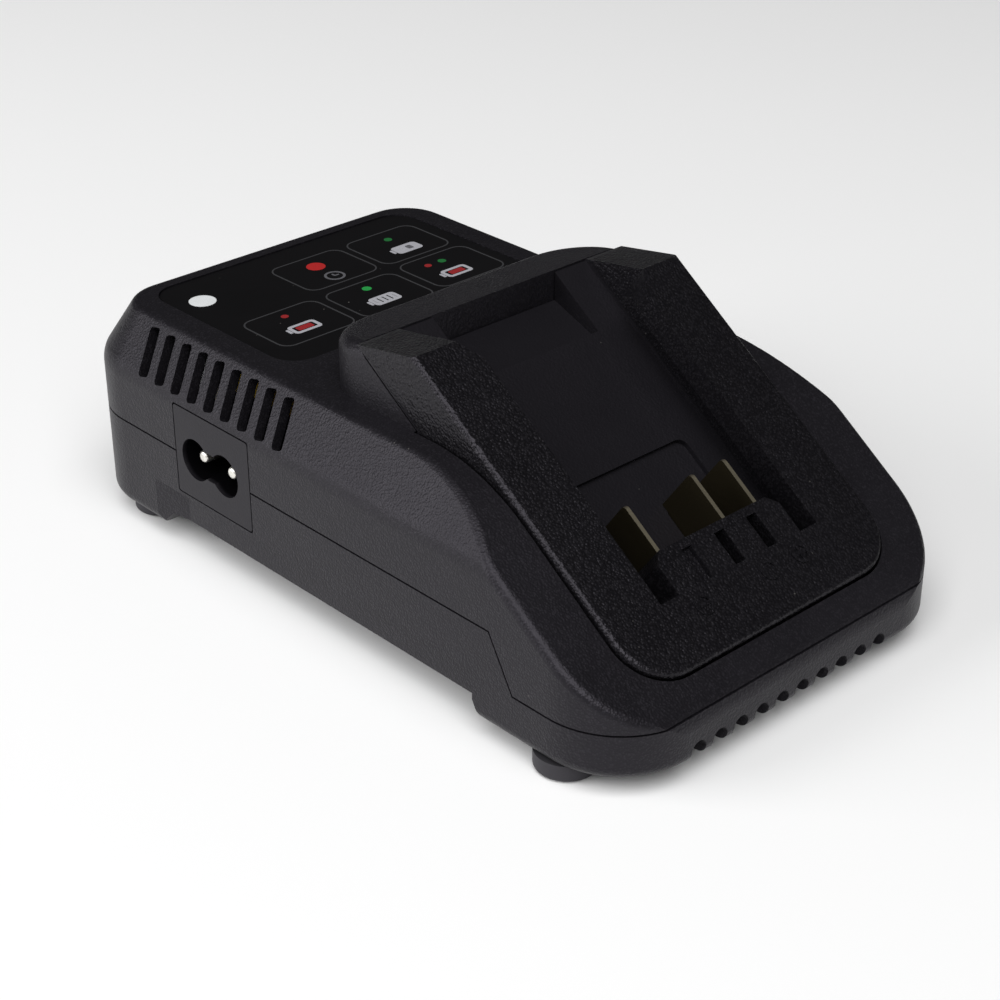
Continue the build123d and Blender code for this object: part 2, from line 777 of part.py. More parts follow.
with BuildPart() as inlet_housing:
    add(inlet_plate(0, left_x, wall + 2 * seat_gap))
    add(inlet_stop.part)
    with BuildSketch(inlet_face.offset(wall)):
        RectangleRounded(inlet_pin_pitch + 2 * inlet_lobe + 2 * inlet_flange,
                         2 * (inlet_axis_height - board_top - 4 * seat_gap), inlet_corner)
    extrude(amount=inlet_body_depth - wall)
    with BuildSketch(inlet_face):
        with GridLocations(inlet_pin_pitch, 0, 2, 1):
            Circle(inlet_lobe)
        Rectangle(inlet_pin_pitch, inlet_waist)
    extrude(amount=inlet_depth, mode=Mode.SUBTRACT)
    with BuildSketch(inlet_face):
        with GridLocations(inlet_pin_pitch, 0, 2, 1):
            Circle(inlet_shank_diameter / 2 + seat_gap)
    extrude(amount=inlet_body_depth, mode=Mode.SUBTRACT)
inlet_housing.part.label = "inlet_housing"
export_step(inlet_housing.part, "parts/inlet_housing.step")

for name, side in (("line", 1), ("neutral", -1)):
    with BuildPart() as pin:
        with BuildSketch(inlet_face.offset(inlet_pin_recess)):
            with Locations((side * inlet_pin_pitch / 2, 0)):
                Circle(inlet_pin_diameter / 2)
        extrude(amount=inlet_depth - inlet_pin_recess - seat_gap)
        fillet(pin.edges().group_by(Axis.X)[0], radius=inlet_pin_diameter / 4)
        with BuildSketch(inlet_face.offset(inlet_pin_recess + inlet_pin_diameter)):
            with Locations((side * inlet_pin_pitch / 2, 0)):
                Circle(inlet_shank_diameter / 2)
        extrude(amount=tail_x - left_x - inlet_pin_recess - inlet_pin_diameter)
    pin.part.label = f"inlet_pin_{name}"
    export_step(pin.part, f"parts/inlet_pin_{name}.step")

with BuildPart() as inlet_wires:
    for side in (-1, 1):
        wire_y = inlet_axis_y + side * inlet_pin_pitch / 2
        with BuildLine() as route:
            FilletPolyline((tail_x + seat_gap, wire_y, inlet_axis_height),
                           (tail_x + inlet_wire_run, wire_y, inlet_axis_height),
                           (tail_x + inlet_wire_run, wire_y, board_top + seat_gap),
                           radius=wire_bend)
        with BuildSketch(Plane(origin=(tail_x + seat_gap, wire_y, inlet_axis_height),
                               z_dir=(1, 0, 0))):
            Circle(wire_diameter / 2)
        sweep(path=route.wires()[0])
inlet_wires.part.label = "inlet_wires"
export_step(inlet_wires.part, "parts/inlet_wires.step")

# ================================================================ label, light, feet, screws
label_floor = deck_height - label_depth
with BuildPart() as label_overlay:
    with BuildSketch(Plane.XY.offset(label_floor)):
        with Locations((0, label_y)):
            RectangleRounded(label_width - 2 * label_clearance,
                             label_length - 2 * label_clearance,
                             label_corner - label_clearance)
        with Locations((lens_x, lens_y)):
            Circle(lens_diameter / 2 + seat_gap, mode=Mode.SUBTRACT)
    extrude(amount=label_thick)
label_overlay.part.label = "label_overlay"
export_step(label_overlay.part, "parts/label_overlay.step")

with BuildPart() as status_light_lens:
    with BuildSketch(Plane.XY.offset(label_floor)):
        with Locations((lens_x, lens_y)):
            Circle(lens_diameter / 2)
    extrude(amount=label_thick + seat_gap)
    with BuildSketch(Plane.XY.offset(label_floor)):
        with Locations((lens_x, lens_y)):
            Circle(lens_stem / 2)
    extrude(amount=board_top + led_height + 2 * seat_gap - label_floor)
status_light_lens.part.label = "status_light_lens"
export_step(status_light_lens.part, "parts/status_light_lens.step")

foot_names = ("foot_front_left", "foot_rear_left", "foot_front_right", "foot_rear_right")
for name, place in zip(foot_names, feet_places):
    with BuildPart() as foot:
        with BuildSketch():
            with Locations(place):
                Circle(foot_diameter / 2)
        extrude(amount=foot_height)
        fillet(foot.edges().group_by(Axis.Z)[0], radius=foot_round)
        with BuildSketch(Plane.XY.offset(foot_height)):
            with Locations(place):
                Circle(foot_plug_diameter / 2)
        extrude(amount=foot_plug_height)
    foot.part.label = name
    export_step(foot.part, f"parts/{name}.step")


def screw_at(x, y, seat, shank, length, head, head_height):
    """Pan-head screw that points up, with the underside of its head at `seat`."""
    with BuildPart() as screw:
        with BuildSketch(Plane.XY.offset(seat)):
            with Locations((x, y)):
                Circle(head / 2)
        extrude(amount=-head_height)
        fillet(screw.edges().group_by(Axis.Z)[0], radius=head_height / 3)
        with BuildSketch(Plane.XY.offset(seat)):
            with Locations((x, y)):
                Circle(shank / 2)
        extrude(amount=length)
        with BuildSketch(Plane.XY.offset(seat - head_height)):
            with Locations((x, y)):
                Rectangle(shank, shank / 4)
                Rectangle(shank / 4, shank)
        extrude(amount=head_height / 2, mode=Mode.SUBTRACT)
    return screw.part


with BuildPart() as case_screws:
    for x, y in feet_places:
        add(screw_at(x, y, head_seats[y] - seat_gap, screw_diameter, screw_length, screw_head,
                     screw_head_height))
case_screws.part.label = "case_screws"
export_step(case_screws.part, "parts/case_screws.step")

with BuildPart() as board_screws:
    for x in (-board_screw_x, board_screw_x):
        for y in (board_screw_front_y, board_screw_rear_y):
            upright = screw_at(0, 0, 0, board_screw_diameter, board_lift + board_thick,
                               board_screw_head, board_screw_head_height)
            add(upright.rotate(Axis.X, 180).moved(Location((x, y, board_top + seat_gap))))
board_screws.part.label = "board_screws"
export_step(board_screws.part, "parts/board_screws.step")

# ================================================================ circuit board
with BuildPart() as circuit_board:
    with BuildSketch(Plane.XY.offset(board_bottom)) as board_plan:
        with Locations((0, (board_rear_y + board_front_y) / 2)):
            Rectangle(board_width, board_rear_y - board_front_y)
        chamfer(board_plan.vertices().group_by(Axis.Y)[-1], length=board_chamfer)
        with Locations((0, (board_screw_rear_y + board_screw_front_y) / 2)):
            with GridLocations(2 * board_screw_x, board_screw_rear_y - board_screw_front_y, 2, 2):
                Circle(board_screw_diameter / 2 + screw_clearance, mode=Mode.SUBTRACT)
    extrude(amount=board_thick)
circuit_board.part.label = "circuit_board"
export_step(circuit_board.part, "parts/circuit_board.step")

board_seat = Plane.XY.offset(board_top + seat_gap)


def block_on_board(name, x, y, width, depth, height, corner):
    """Moulded block that stands on the board."""
    with BuildPart() as block:
        with BuildSketch(board_seat):
            with Locations((x, y)):
                RectangleRounded(width, depth, corner)
        extrude(amount=height)
        chamfer(block.edges().group_by(Axis.Z)[-1], length=corner / 2)
    block.part.label = name
    export_step(block.part, f"parts/{name}.step")


def cans_on_board(name, places, diameter, height):
    """Electrolytic cans that stand on the board, with a crimp near the foot."""
    with BuildPart() as cans:
        with BuildSketch(board_seat):
            with Locations(*places):
                Circle(diameter / 2)
        extrude(amount=height)
        fillet(cans.edges().group_by(Axis.Z)[-1], radius=diameter / 16)
        with BuildSketch(board_seat.offset(height / 8)):
            with Locations(*places):
                Circle(diameter)
                Circle(diameter / 2 - can_crimp, mode=Mode.SUBTRACT)
        extrude(amount=can_crimp * 2, mode=Mode.SUBTRACT)
    cans.part.label = name
    export_step(cans.part, f"parts/{name}.step")


choke_x = tail_x + inlet_wire_run + wire_diameter / 2 + part_gap + choke_diameter / 2
primary_sink_x = board_edge_x - primary_sink_edge
sink_row_y = inlet_axis_y + input_can_offset
primary_chip_edge = primary_sink_x - sink_thick / 2 - seat_gap - chip_thick
input_can_x = (choke_x + choke_diameter / 2 + primary_chip_edge) / 2
input_can_height = deck_height - wall - roof_gap - board_top
fuse_x = fuse_edge - board_edge_x
output_can_x = fuse_x + fuse_cap / 2 + chip_gap + output_can_diameter / 2
output_can_y = board_front_y + output_can_inset
output_sink_x = (output_can_x + output_can_diameter / 2 + part_gap + chip_thick + seat_gap
                 + sink_thick / 2)
control_x = board_edge_x - control_edge
opto_x = control_x + control_width / 2 - opto_width / 2
core_x = (output_sink_x + 2 * sink_fin + opto_x - opto_width / 2) / 2
core_y = board_front_y + core_inset
film_x = lens_x + lens_stem / 2 + part_gap + film_width / 2
bridge_x = film_x + film_width / 2 + part_gap + bridge_width / 2
back_row_y = board_rear_y - film_inset

block_on_board("film_capacitor", film_x, back_row_y, film_width, film_depth, film_height,
               film_corner)
block_on_board("bridge_rectifier", bridge_x, back_row_y, bridge_width, bridge_depth,
               bridge_height, bridge_corner)
block_on_board("optocoupler", opto_x, board_front_y + opto_inset, opto_width, opto_depth,
               opto_height, opto_corner)
block_on_board("control_chip", control_x, board_front_y + control_inset, control_width,
               control_depth, control_height, control_corner)
block_on_board("status_led", lens_x, lens_y, led_width, led_depth, led_height, led_corner)
cans_on_board("input_capacitor", [(input_can_x, sink_row_y)], input_can_diameter,
              input_can_height)
cans_on_board("output_capacitors",
              [(output_can_x, output_can_y), (output_can_x, output_can_y + output_can_pitch)],
              output_can_diameter, output_can_height)

with BuildPart() as line_filter_choke:
    with BuildSketch(board_seat):
        with Locations((choke_x, inlet_axis_y)):
            Circle(choke_diameter / 2)
            Circle(choke_bore / 2, mode=Mode.SUBTRACT)
    extrude(amount=choke_height)
    fillet(line_filter_choke.edges().filter_by(GeomType.CIRCLE), radius=choke_height / 5)
line_filter_choke.part.label = "line_filter_choke"
export_step(line_filter_choke.part, "parts/line_filter_choke.step")

with BuildPart() as fuse:
    fuse_axis = Plane(origin=(fuse_x, board_front_y + fuse_inset,
                              board_top + seat_gap + fuse_cap / 2), z_dir=(0, 1, 0))
    with BuildSketch(fuse_axis.offset(-fuse_length / 2)):
        Circle(fuse_body / 2)
    extrude(amount=fuse_length)
    for start in (-fuse_length / 2, fuse_length / 2 - fuse_cap):
        with BuildSketch(fuse_axis.offset(start)):
            Circle(fuse_cap / 2)
        extrude(amount=fuse_cap)
fuse.part.label = "fuse"
export_step(fuse.part, "parts/fuse.step")

core_centre = (core_x, core_y)
core_window = (core_width - core_limb - 2 * core_side_limb) / 2
window_height = core_height - 2 * core_side_limb
with BuildPart() as transformer_core:
    with BuildSketch(board_seat):
        with Locations(core_centre):
            Rectangle(core_width, core_depth)
    extrude(amount=core_height)
    with BuildSketch(Plane.XZ.offset(-core_y - core_depth)):
        with Locations((core_x, board_top + seat_gap + core_height / 2)):
            with GridLocations(core_limb + core_window, 0, 2, 1):
                Rectangle(core_window, window_height)
    extrude(amount=2 * core_depth, mode=Mode.SUBTRACT)
transformer_core.part.label = "transformer_core"
export_step(transformer_core.part, "parts/transformer_core.step")

with BuildPart() as transformer_winding:
    with BuildSketch(board_seat.offset(core_side_limb + seat_gap)):
        with Locations(core_centre):
            RectangleRounded(core_limb + 2 * core_window - 2 * core_gap,
                             core_depth + 2 * core_window, core_window / 2)
            Rectangle(core_limb + 2 * core_gap, core_depth + 2 * core_gap, mode=Mode.SUBTRACT)
    extrude(amount=window_height - 2 * seat_gap)
transformer_winding.part.label = "transformer_winding"
export_step(transformer_winding.part, "parts/transformer_winding.step")

sinks = {"primary_heat_sink": ("switching_transistor", primary_sink_x, sink_row_y),
         "output_heat_sink": ("output_rectifier", output_sink_x,
                              board_front_y + output_sink_inset)}
for sink_name, (chip_name, x, y) in sinks.items():
    chip_x = x - sink_thick / 2 - chip_thick / 2 - seat_gap
    with BuildPart() as sink:
        with BuildSketch(board_seat):
            with Locations((x, y)):
                Rectangle(sink_thick, sink_length)
            with Locations((x + sink_fin, y + sink_length / 2 - sink_thick / 2),
                           (x + sink_fin, y - sink_length / 2 + sink_thick / 2)):
                Rectangle(2 * sink_fin, sink_thick)
        extrude(amount=sink_height)
    sink.part.label = sink_name
    export_step(sink.part, f"parts/{sink_name}.step")
    with BuildPart() as chip:
        with BuildSketch(board_seat.offset(chip_lift)):
            with Locations((chip_x, y)):
                Rectangle(chip_thick, chip_width)
        extrude(amount=chip_height)
        with BuildSketch(board_seat):
            with Locations((chip_x, y)):
                with GridLocations(0, chip_width / 4, 1, 3):
                    Rectangle(chip_lead, chip_lead)
        extrude(amount=chip_lift)
    chip.part.label = chip_name
    export_step(chip.part, f"parts/{chip_name}.step")
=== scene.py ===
"""Looks of a bench charger for slide-on tool batteries.

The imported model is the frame. Each CAD node gets a finish, and the ink of the label, the floor,
the camera and the lights are built here. Lengths are in millimetres unless a docstring says
metres, and are turned to metres where a mesh or a socket takes them.
"""
from __future__ import annotations

import json
import logging
import math
from dataclasses import dataclass
from enum import Enum
from typing import Callable, Union

import bmesh
import bpy
from mathutils import Matrix, Vector

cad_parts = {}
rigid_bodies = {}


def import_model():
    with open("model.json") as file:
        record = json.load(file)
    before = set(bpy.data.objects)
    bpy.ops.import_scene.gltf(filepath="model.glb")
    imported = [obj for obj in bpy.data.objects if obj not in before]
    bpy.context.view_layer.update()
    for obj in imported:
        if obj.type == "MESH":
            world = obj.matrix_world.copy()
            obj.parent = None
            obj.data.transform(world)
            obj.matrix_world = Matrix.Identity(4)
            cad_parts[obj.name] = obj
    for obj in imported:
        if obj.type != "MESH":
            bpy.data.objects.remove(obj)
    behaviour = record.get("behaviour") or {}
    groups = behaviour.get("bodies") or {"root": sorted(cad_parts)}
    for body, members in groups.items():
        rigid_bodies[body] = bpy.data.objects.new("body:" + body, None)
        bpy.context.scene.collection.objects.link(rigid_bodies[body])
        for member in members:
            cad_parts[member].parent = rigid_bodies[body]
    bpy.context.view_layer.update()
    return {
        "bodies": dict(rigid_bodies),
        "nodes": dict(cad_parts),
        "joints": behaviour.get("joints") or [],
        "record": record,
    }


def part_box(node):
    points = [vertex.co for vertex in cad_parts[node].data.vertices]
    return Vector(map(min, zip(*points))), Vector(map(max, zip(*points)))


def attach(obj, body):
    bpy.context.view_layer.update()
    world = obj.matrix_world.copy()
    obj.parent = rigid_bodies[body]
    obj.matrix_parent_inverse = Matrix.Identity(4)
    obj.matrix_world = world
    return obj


LOG = logging.getLogger("charger")
MM = 0.001
BODY = "root"
LABEL_SLOT = "label_film"

# The dock's plane, as its normal and its distance from the origin, and the left wall's place on X.
DOCK_NORMAL = (0.0, -0.5779, 0.8161)
DOCK_LEVEL = 53.27
LEFT_WALL = -43.0

# Period of a wave texture of scale 1, in metres.
WAVE_PERIOD = 0.314

CORNER_RUNS = 6
CIRCLE_POINTS = 32

Colour = tuple[float, float, float]
Socket = bpy.types.NodeSocket
Number = Union[Socket, float]


def shade(colour: Colour, factor: float) -> Colour:
    """Gives a colour times a factor."""
    return tuple(channel * factor for channel in colour)


# ------------------------------------------------------------------ shader node groups
class Pattern(Enum):
    """Patterns that several finishes share, with the names of their node groups."""

    GRAIN = "spark_grain"
    MOTTLE = "handled_mottle"
    DUST = "lint_specks"


class Axis(Enum):
    """Axes of the shared frame."""

    X = 0
    Y = 1
    Z = 2


class NodeTree:
    """Thin helper around one node tree, with sockets given by name."""

    def __init__(self, tree: bpy.types.NodeTree) -> None:
        """Wraps a tree.

        Args:
            tree: A material's or a group's node tree.
        """
        self.tree = tree

    def add(self, kind: str, **values: object) -> bpy.types.Node:
        """Adds a node and sets its properties.

        Args:
            kind: Node class name without the leading ShaderNode.
            values: Properties of the node.

        Returns:
            The new node.
        """
        node = self.tree.nodes.new("ShaderNode" + kind)
        for name, value in values.items():
            setattr(node, name, value)
        return node

    def join(self, source: Socket, target: Socket) -> None:
        """Links two sockets."""
        self.tree.links.new(source, target)

    def math(self, operation: str, first: Number, second: Number = 0.0,
             clamp: bool = False) -> Socket:
        """Adds a Math node.

        Args:
            operation: Math operation.
            first: Socket or number.
            second: Socket or number.
            clamp: Whether the result is kept between 0 and 1.

        Returns:
            The output socket.
        """
        node = self.add("Math", operation=operation, use_clamp=clamp)
        for slot, value in zip(node.inputs, (first, second)):
            if isinstance(value, Socket):
                self.join(value, slot)
            else:
                slot.default_value = float(value)
        return node.outputs[0]

    def add_share(self, base: Number, value: Socket, share: Number,
                  clamp: bool = False) -> Socket:
        """Adds a share of a value to a base.

        Args:
            base: Socket or number.
            value: Value that is added in part.
            share: How much of the value is added, as a socket or number.
            clamp: Whether the result is kept between 0 and 1.

        Returns:
            The output socket.
        """
        return self.math("ADD", base, self.math("MULTIPLY", value, share), clamp)

    def mix(self, factor: Socket, first: Union[Socket, Colour],
            second: Union[Socket, Colour]) -> Socket:
        """Mixes two colours.

        Args:
            factor: Share of the second colour.
            first: Socket or colour at factor 0.
            second: Socket or colour at factor 1.

        Returns:
            The colour output.
        """
        node = self.add("Mix", data_type="RGBA")
        self.join(factor, node.inputs[0])
        for slot, value in zip((node.inputs[6], node.inputs[7]), (first, second)):
            if isinstance(value, Socket):
                self.join(value, slot)
            else:
                slot.default_value = (*value, 1.0)
        return node.outputs[2]

    def noise(self, vector: Socket, cell: Number, detail: float, rough: float = 0.5) -> Socket:
        """Adds a noise whose features are about `cell` wide.

        Args:
            vector: Coordinates in metres.
            cell: Feature size in millimetres, or a socket with features per metre.
            detail: Octaves.
            rough: Weight of the finer octaves.

        Returns:
            The noise value.
        """
        node = self.add("TexNoise")
        self.join(vector, node.inputs["Vector"])
        if isinstance(cell, Socket):
            self.join(cell, node.inputs["Scale"])
        else:
            node.inputs["Scale"].default_value = 1.0 / (cell * MM)
        node.inputs["Detail"].default_value = detail
        node.inputs["Roughness"].default_value = rough
        return node.outputs["Fac"]

    def ramp(self, value: Socket, low: float, high: float) -> Socket:
        """Maps low..high to 0..1 smoothly.

        Args:
            value: Value to map.
            low: Where the result is 0.
            high: Where the result is 1.

        Returns:
            The mapped value.
        """
        node = self.add("MapRange", interpolation_type="SMOOTHSTEP")
        self.join(value, node.inputs["Value"])
        node.inputs["From Min"].default_value = low
        node.inputs["From Max"].default_value = high
        return node.outputs["Result"]

    def along(self, axis: Axis, vector: Socket) -> Socket:
        """Takes one axis of a vector.

        Args:
            axis: Axis to take.
            vector: Socket with the vector.

        Returns:
            The output socket.
        """
        axes = self.add("SeparateXYZ")
        self.join(vector, axes.inputs[0])
        return axes.outputs[axis.value]


class GroupLibrary:
    """Node groups of the shared patterns, each built once.

    Attributes:
        blend: How far neighbouring grains melt into each other.
        grain_top: Height of the middle of a grain.
        broad_share: Frequency of the unevenness over that of the grain.
        glint_range: Heights between which the top of a grain takes the painted glint.
        slow_cell: Feature size of the slow tone.
        rubbed_cell: Feature size of the rubbed tone.
        slow_share: Weight of the slow tone, the rest being the rubbed one.
        tone_range: Noise values that the tone runs between.
        specks: Cells of lint per metre.
        speck_edge: Distances from a cell's middle between which a speck ends.
        patch_cell: Size of the patches that lint gathers in.
        patch_range: Noise values between which a patch begins.
    """

    blend = 0.6
    grain_top = 0.75
    broad_share = 0.45
    glint_range = (0.72, 0.98)
    slow_cell = 26.0
    rubbed_cell = 5.0
    slow_share = 0.6
    tone_range = (0.3, 0.7)
    specks = 520.0
    speck_edge = (0.05, 0.1)
    patch_cell = 4.0
    patch_range = (0.6, 0.68)

    def __init__(self) -> None:
        """Starts with no groups built."""
        self._built: dict[Pattern, bpy.types.NodeTree] = {}

    def place(self, tree: NodeTree, pattern: Pattern, vector: Socket,
              values: dict[str, float]) -> bpy.types.NodeOutputs:
        """Puts a pattern's group in a material, and builds the group on its first use.

        Args:
            tree: Node tree of the material.
            pattern: Which pattern.
            vector: Coordinates in metres.
            values: Values of the group's other inputs.

        Returns:
            The outputs of the group.
        """
        if pattern not in self._built:
            builders: dict[Pattern, Callable[[], bpy.types.NodeTree]] = {
                Pattern.GRAIN: self._grain, Pattern.MOTTLE: self._mottle,
                Pattern.DUST: self._dust}
            self._built[pattern] = builders[pattern]()
        node = tree.add("Group")
        node.node_tree = self._built[pattern]
        tree.join(vector, node.inputs["Vector"])
        for name, value in values.items():
            node.inputs[name].default_value = value
        return node.outputs

    @staticmethod
    def _start(pattern: Pattern, inputs: dict[str, float],
               outputs: list[str]) -> tuple[NodeTree, bpy.types.NodeOutputs,
                                            bpy.types.NodeInputs]:
        """Makes an empty group with a vector, its values and its results.

        Args:
            pattern: Which pattern.
            inputs: Name and default of each input value.
            outputs: Name of each result.

        Returns:
            The tree, the sockets that give its inputs and those that take its results.
        """
        group = bpy.data.node_groups.new(pattern.value, "ShaderNodeTree")
        sockets = group.interface
        sockets.new_socket(name="Vector", in_out="INPUT", socket_type="NodeSocketVector")
        for label, default in inputs.items():
            made = sockets.new_socket(name=label, in_out="INPUT", socket_type="NodeSocketFloat")
            made.default_value = default
        for label in outputs:
            sockets.new_socket(name=label, in_out="OUTPUT", socket_type="NodeSocketFloat")
        given = group.nodes.new("NodeGroupInput").outputs
        return NodeTree(group), given, group.nodes.new("NodeGroupOutput").inputs

    def _grain(self) -> bpy.types.NodeTree:
        """Builds spark-eroded mould grain: rounded pits and bumps of one size.

        Returns:
            The node group.
        """
        tree, given, made = self._start(
            Pattern.GRAIN, {"Cells per metre": 2000.0, "Irregular": 0.5}, ["Height", "Glint"])
        cells = tree.add("TexVoronoi", feature="SMOOTH_F1")
        cells.inputs["Smoothness"].default_value = self.blend
        tree.join(given["Vector"], cells.inputs["Vector"])
        tree.join(given["Cells per metre"], cells.inputs["Scale"])
        broad_scale = tree.math("MULTIPLY", given["Cells per metre"], self.broad_share)
        broad = tree.noise(given["Vector"], broad_scale, detail=2.0)
        bump = tree.math("SUBTRACT", self.grain_top, cells.outputs["Distance"])
        height = tree.add_share(bump, broad, given["Irregular"])
        tree.join(height, made["Height"])
        # The second result marks the grain tops that take a painted glint, a painted highlight.
        tree.join(tree.ramp(height, *self.glint_range), made["Glint"])
        return tree.tree

    def _mottle(self) -> bpy.types.NodeTree:
        """Builds the slow change of tone where a moulding cooled or was handled.

        Returns:
            The node group.
        """
        tree, given, made = self._start(Pattern.MOTTLE, {}, ["Tone"])
        slow = tree.noise(given["Vector"], self.slow_cell, detail=3.0)
        rubbed = tree.noise(given["Vector"], self.rubbed_cell, detail=4.0, rough=0.65)
        both = tree.add_share(tree.math("MULTIPLY", slow, self.slow_share), rubbed,
                              1 - self.slow_share)
        tree.join(tree.ramp(both, *self.tone_range), made["Tone"])
        return tree.tree

    def _dust(self) -> bpy.types.NodeTree:
        """Builds sparse specks of lint, most of them a few tenths of a millimetre wide.

        Returns:
            The node group.
        """
        tree, given, made = self._start(Pattern.DUST, {"Amount": 0.5}, ["Mask"])
        cells = tree.add("TexVoronoi", feature="F1")
        cells.inputs["Scale"].default_value = self.specks
        tree.join(given["Vector"], cells.inputs["Vector"])
        near = tree.math("SUBTRACT", 1.0, tree.ramp(cells.outputs["Distance"], *self.speck_edge))
        cloud = tree.noise(given["Vector"], self.patch_cell, detail=3.0, rough=0.7)
        mask = tree.math("MULTIPLY", near, tree.ramp(cloud, *self.patch_range))
        tree.join(tree.math("MULTIPLY", mask, given["Amount"]), made["Mask"])
        return tree.tree


GROUPS = GroupLibrary()


def new_material(name: str) -> tuple[bpy.types.Material, NodeTree, bpy.types.Node, Socket]:
    """Starts a material on Object coordinates.

    Args:
        name: Material name.

    Returns:
        The material, its tree, its Principled shader and the coordinate socket.
    """
    material = bpy.data.materials.new(name)
    material.use_nodes = True
    tree = NodeTree(material.node_tree)
    shader = material.node_tree.nodes["Principled BSDF"]
    place = tree.add("TexCoord").outputs["Object"]
    return material, tree, shader, place


def add_bump(tree: NodeTree, shader: bpy.types.Node, height: Socket, depth: float) -> None:
    """Feeds a height to the shader's normal.

    Args:
        tree: Node tree of the material.
        shader: Principled shader.
        height: Socket with the height.
        depth: Depth of a height of 1.
    """
    bump = tree.add("Bump")
    bump.inputs["Strength"].default_value = 1.0
    bump.inputs["Distance"].default_value = depth * MM
    tree.join(height, bump.inputs["Height"])
    tree.join(bump.outputs["Normal"], shader.inputs["Normal"])


# ------------------------------------------------------------------ finishes
@dataclass(frozen=True)
class MouldedPlastic:
    """Injection moulded plastic with a spark-eroded grain.

    Attributes:
        name: Material name.
        colour: Base colour, linear.
        roughness: Roughness in the middle of its range.
        cell: Grain size.
        depth: Grain depth.
        irregular: How uneven the grain is.
        crest_glint: How strong the painted glint on the grain tops is.
        dust: Amount of lint.
        specular: Specular level.
        coat: Clear coat weight.
        bed: Depth of the dock's bed under the dock's plane, or 0 for a piece without one.
        socket: Depth at which the inlet's socket is fully painted in shade, or 0 for a piece
            without one.
        tones: Darkest and lightest tone of the mottle over the base colour.
        rubbed: Range of roughness that the mottle spans.
        glint_gain: How much the painted glint at full strength gains on the base colour.
        glint_lift: Grey that the painted glint adds at full strength.
        lint: Colour of the lint.
        sheen: Tint of the reflections.
        bed_painted_light: Painted light on the bed, as a tone over the base colour.
        bed_grain: Share of the grain's height that is left on the bed.
        bed_edge: Height over which the bed turns to full grain.
        socket_painted_shade: Painted shade inside the socket, as a tone over the base colour.
        socket_shade_start: Depth at which the painted shade inside the socket begins.
    """

    name: str
    colour: Colour
    roughness: float
    cell: float = 0.4
    depth: float = 0.01
    irregular: float = 0.5
    crest_glint: float = 0.1
    dust: float = 0.2
    specular: float = 0.4
    coat: float = 0.0
    bed: float = 0.0
    socket: float = 0.0
    tones: tuple[float, float] = (0.88, 1.1)
    rubbed: float = 0.08
    glint_gain: float = 5.0
    glint_lift: float = 0.01
    lint: Colour = (0.32, 0.3, 0.28)
    sheen: Colour = (0.93, 0.88, 1.0)
    bed_painted_light: float = 2.2
    bed_grain: float = 0.35
    bed_edge: float = 0.8
    socket_painted_shade: float = 0.3
    socket_shade_start: float = 0.2

    def _relief(self, tree: NodeTree, place: Socket) -> Socket:
        """Masks what stands above the bed of the dock.

        Args:
            tree: Node tree of the material.
            place: Coordinate socket.

        Returns:
            Socket with 0 on the bed and 1 above it.
        """
        level = tree.add("VectorMath", operation="DOT_PRODUCT")
        level.inputs[1].default_value = DOCK_NORMAL
        tree.join(place, level.inputs[0])
        start = DOCK_LEVEL - self.bed
        return tree.ramp(level.outputs["Value"], start * MM, (start + self.bed_edge) * MM)

    def _inside(self, tree: NodeTree, place: Socket) -> Socket:
        """Masks what lies behind the left wall, where the socket is painted in shade.

        Args:
            tree: Node tree of the material.
            place: Coordinate socket.

        Returns:
            Socket with 0 on the outer face and 1 inside the socket.
        """
        return tree.ramp(tree.along(Axis.X, place), (LEFT_WALL + self.socket_shade_start) * MM,
                         (LEFT_WALL + self.socket) * MM)

    def _glint_colour(self) -> Colour:
        """Gives the colour of the painted glint on a grain top."""
        gain, lift = 1 + self.glint_gain * self.crest_glint, self.glint_lift * self.crest_glint
        return tuple(min(1.0, channel * gain + lift) for channel in self.colour)

    def build(self) -> bpy.types.Material:
        """Builds the material.

        Returns:
            The material.
        """
        material, tree, shader, place = new_material(self.name)
        grain = GROUPS.place(tree, Pattern.GRAIN, place, {
            "Cells per metre": 1.0 / (self.cell * MM), "Irregular": self.irregular})
        tone = GROUPS.place(tree, Pattern.MOTTLE, place, {})["Tone"]
        lint = GROUPS.place(tree, Pattern.DUST, place, {"Amount": self.dust})["Mask"]
        height, crest_glint = grain["Height"], grain["Glint"]
        colour = tree.mix(tone, *(shade(self.colour, factor) for factor in self.tones))
        if self.bed:
            relief = self._relief(tree, place)
            kept = tree.add_share(self.bed_grain, relief, 1 - self.bed_grain)
            height = tree.math("MULTIPLY", height, kept)
            crest_glint = tree.math("MULTIPLY", crest_glint, relief)
            # Painted light: the dock's bed is coloured lighter than the rest of the dock, for the
            # light that its slope catches.
            colour = tree.mix(relief, shade(self.colour, self.bed_painted_light), colour)
        # Painted highlight: the grain tops are lightened in colour to stand in for glints of light
        # on them.
        colour = tree.mix(crest_glint, colour, self._glint_colour())
        colour = tree.mix(lint, colour, self.lint)
        shader.inputs["Specular IOR Level"].default_value = self.specular
        # Painted shade inside the inlet's socket: the colour darkens and the specular level falls
        # to 0 with depth behind the left wall.
        if self.socket:
            inside = self._inside(tree, place)
            colour = tree.mix(inside, colour, shade(self.colour, self.socket_painted_shade))
            tree.join(tree.add_share(self.specular, inside, -self.specular),
                      shader.inputs["Specular IOR Level"])
        tree.join(colour, shader.inputs["Base Color"])
        tree.join(tree.add_share(self.roughness - self.rubbed / 2, tone, self.rubbed, clamp=True),
                  shader.inputs["Roughness"])
        shader.inputs["Specular Tint"].default_value = (*self.sheen, 1.0)
        shader.inputs["Coat Weight"].default_value = self.coat
        add_bump(tree, shader, height, self.depth)
        return material


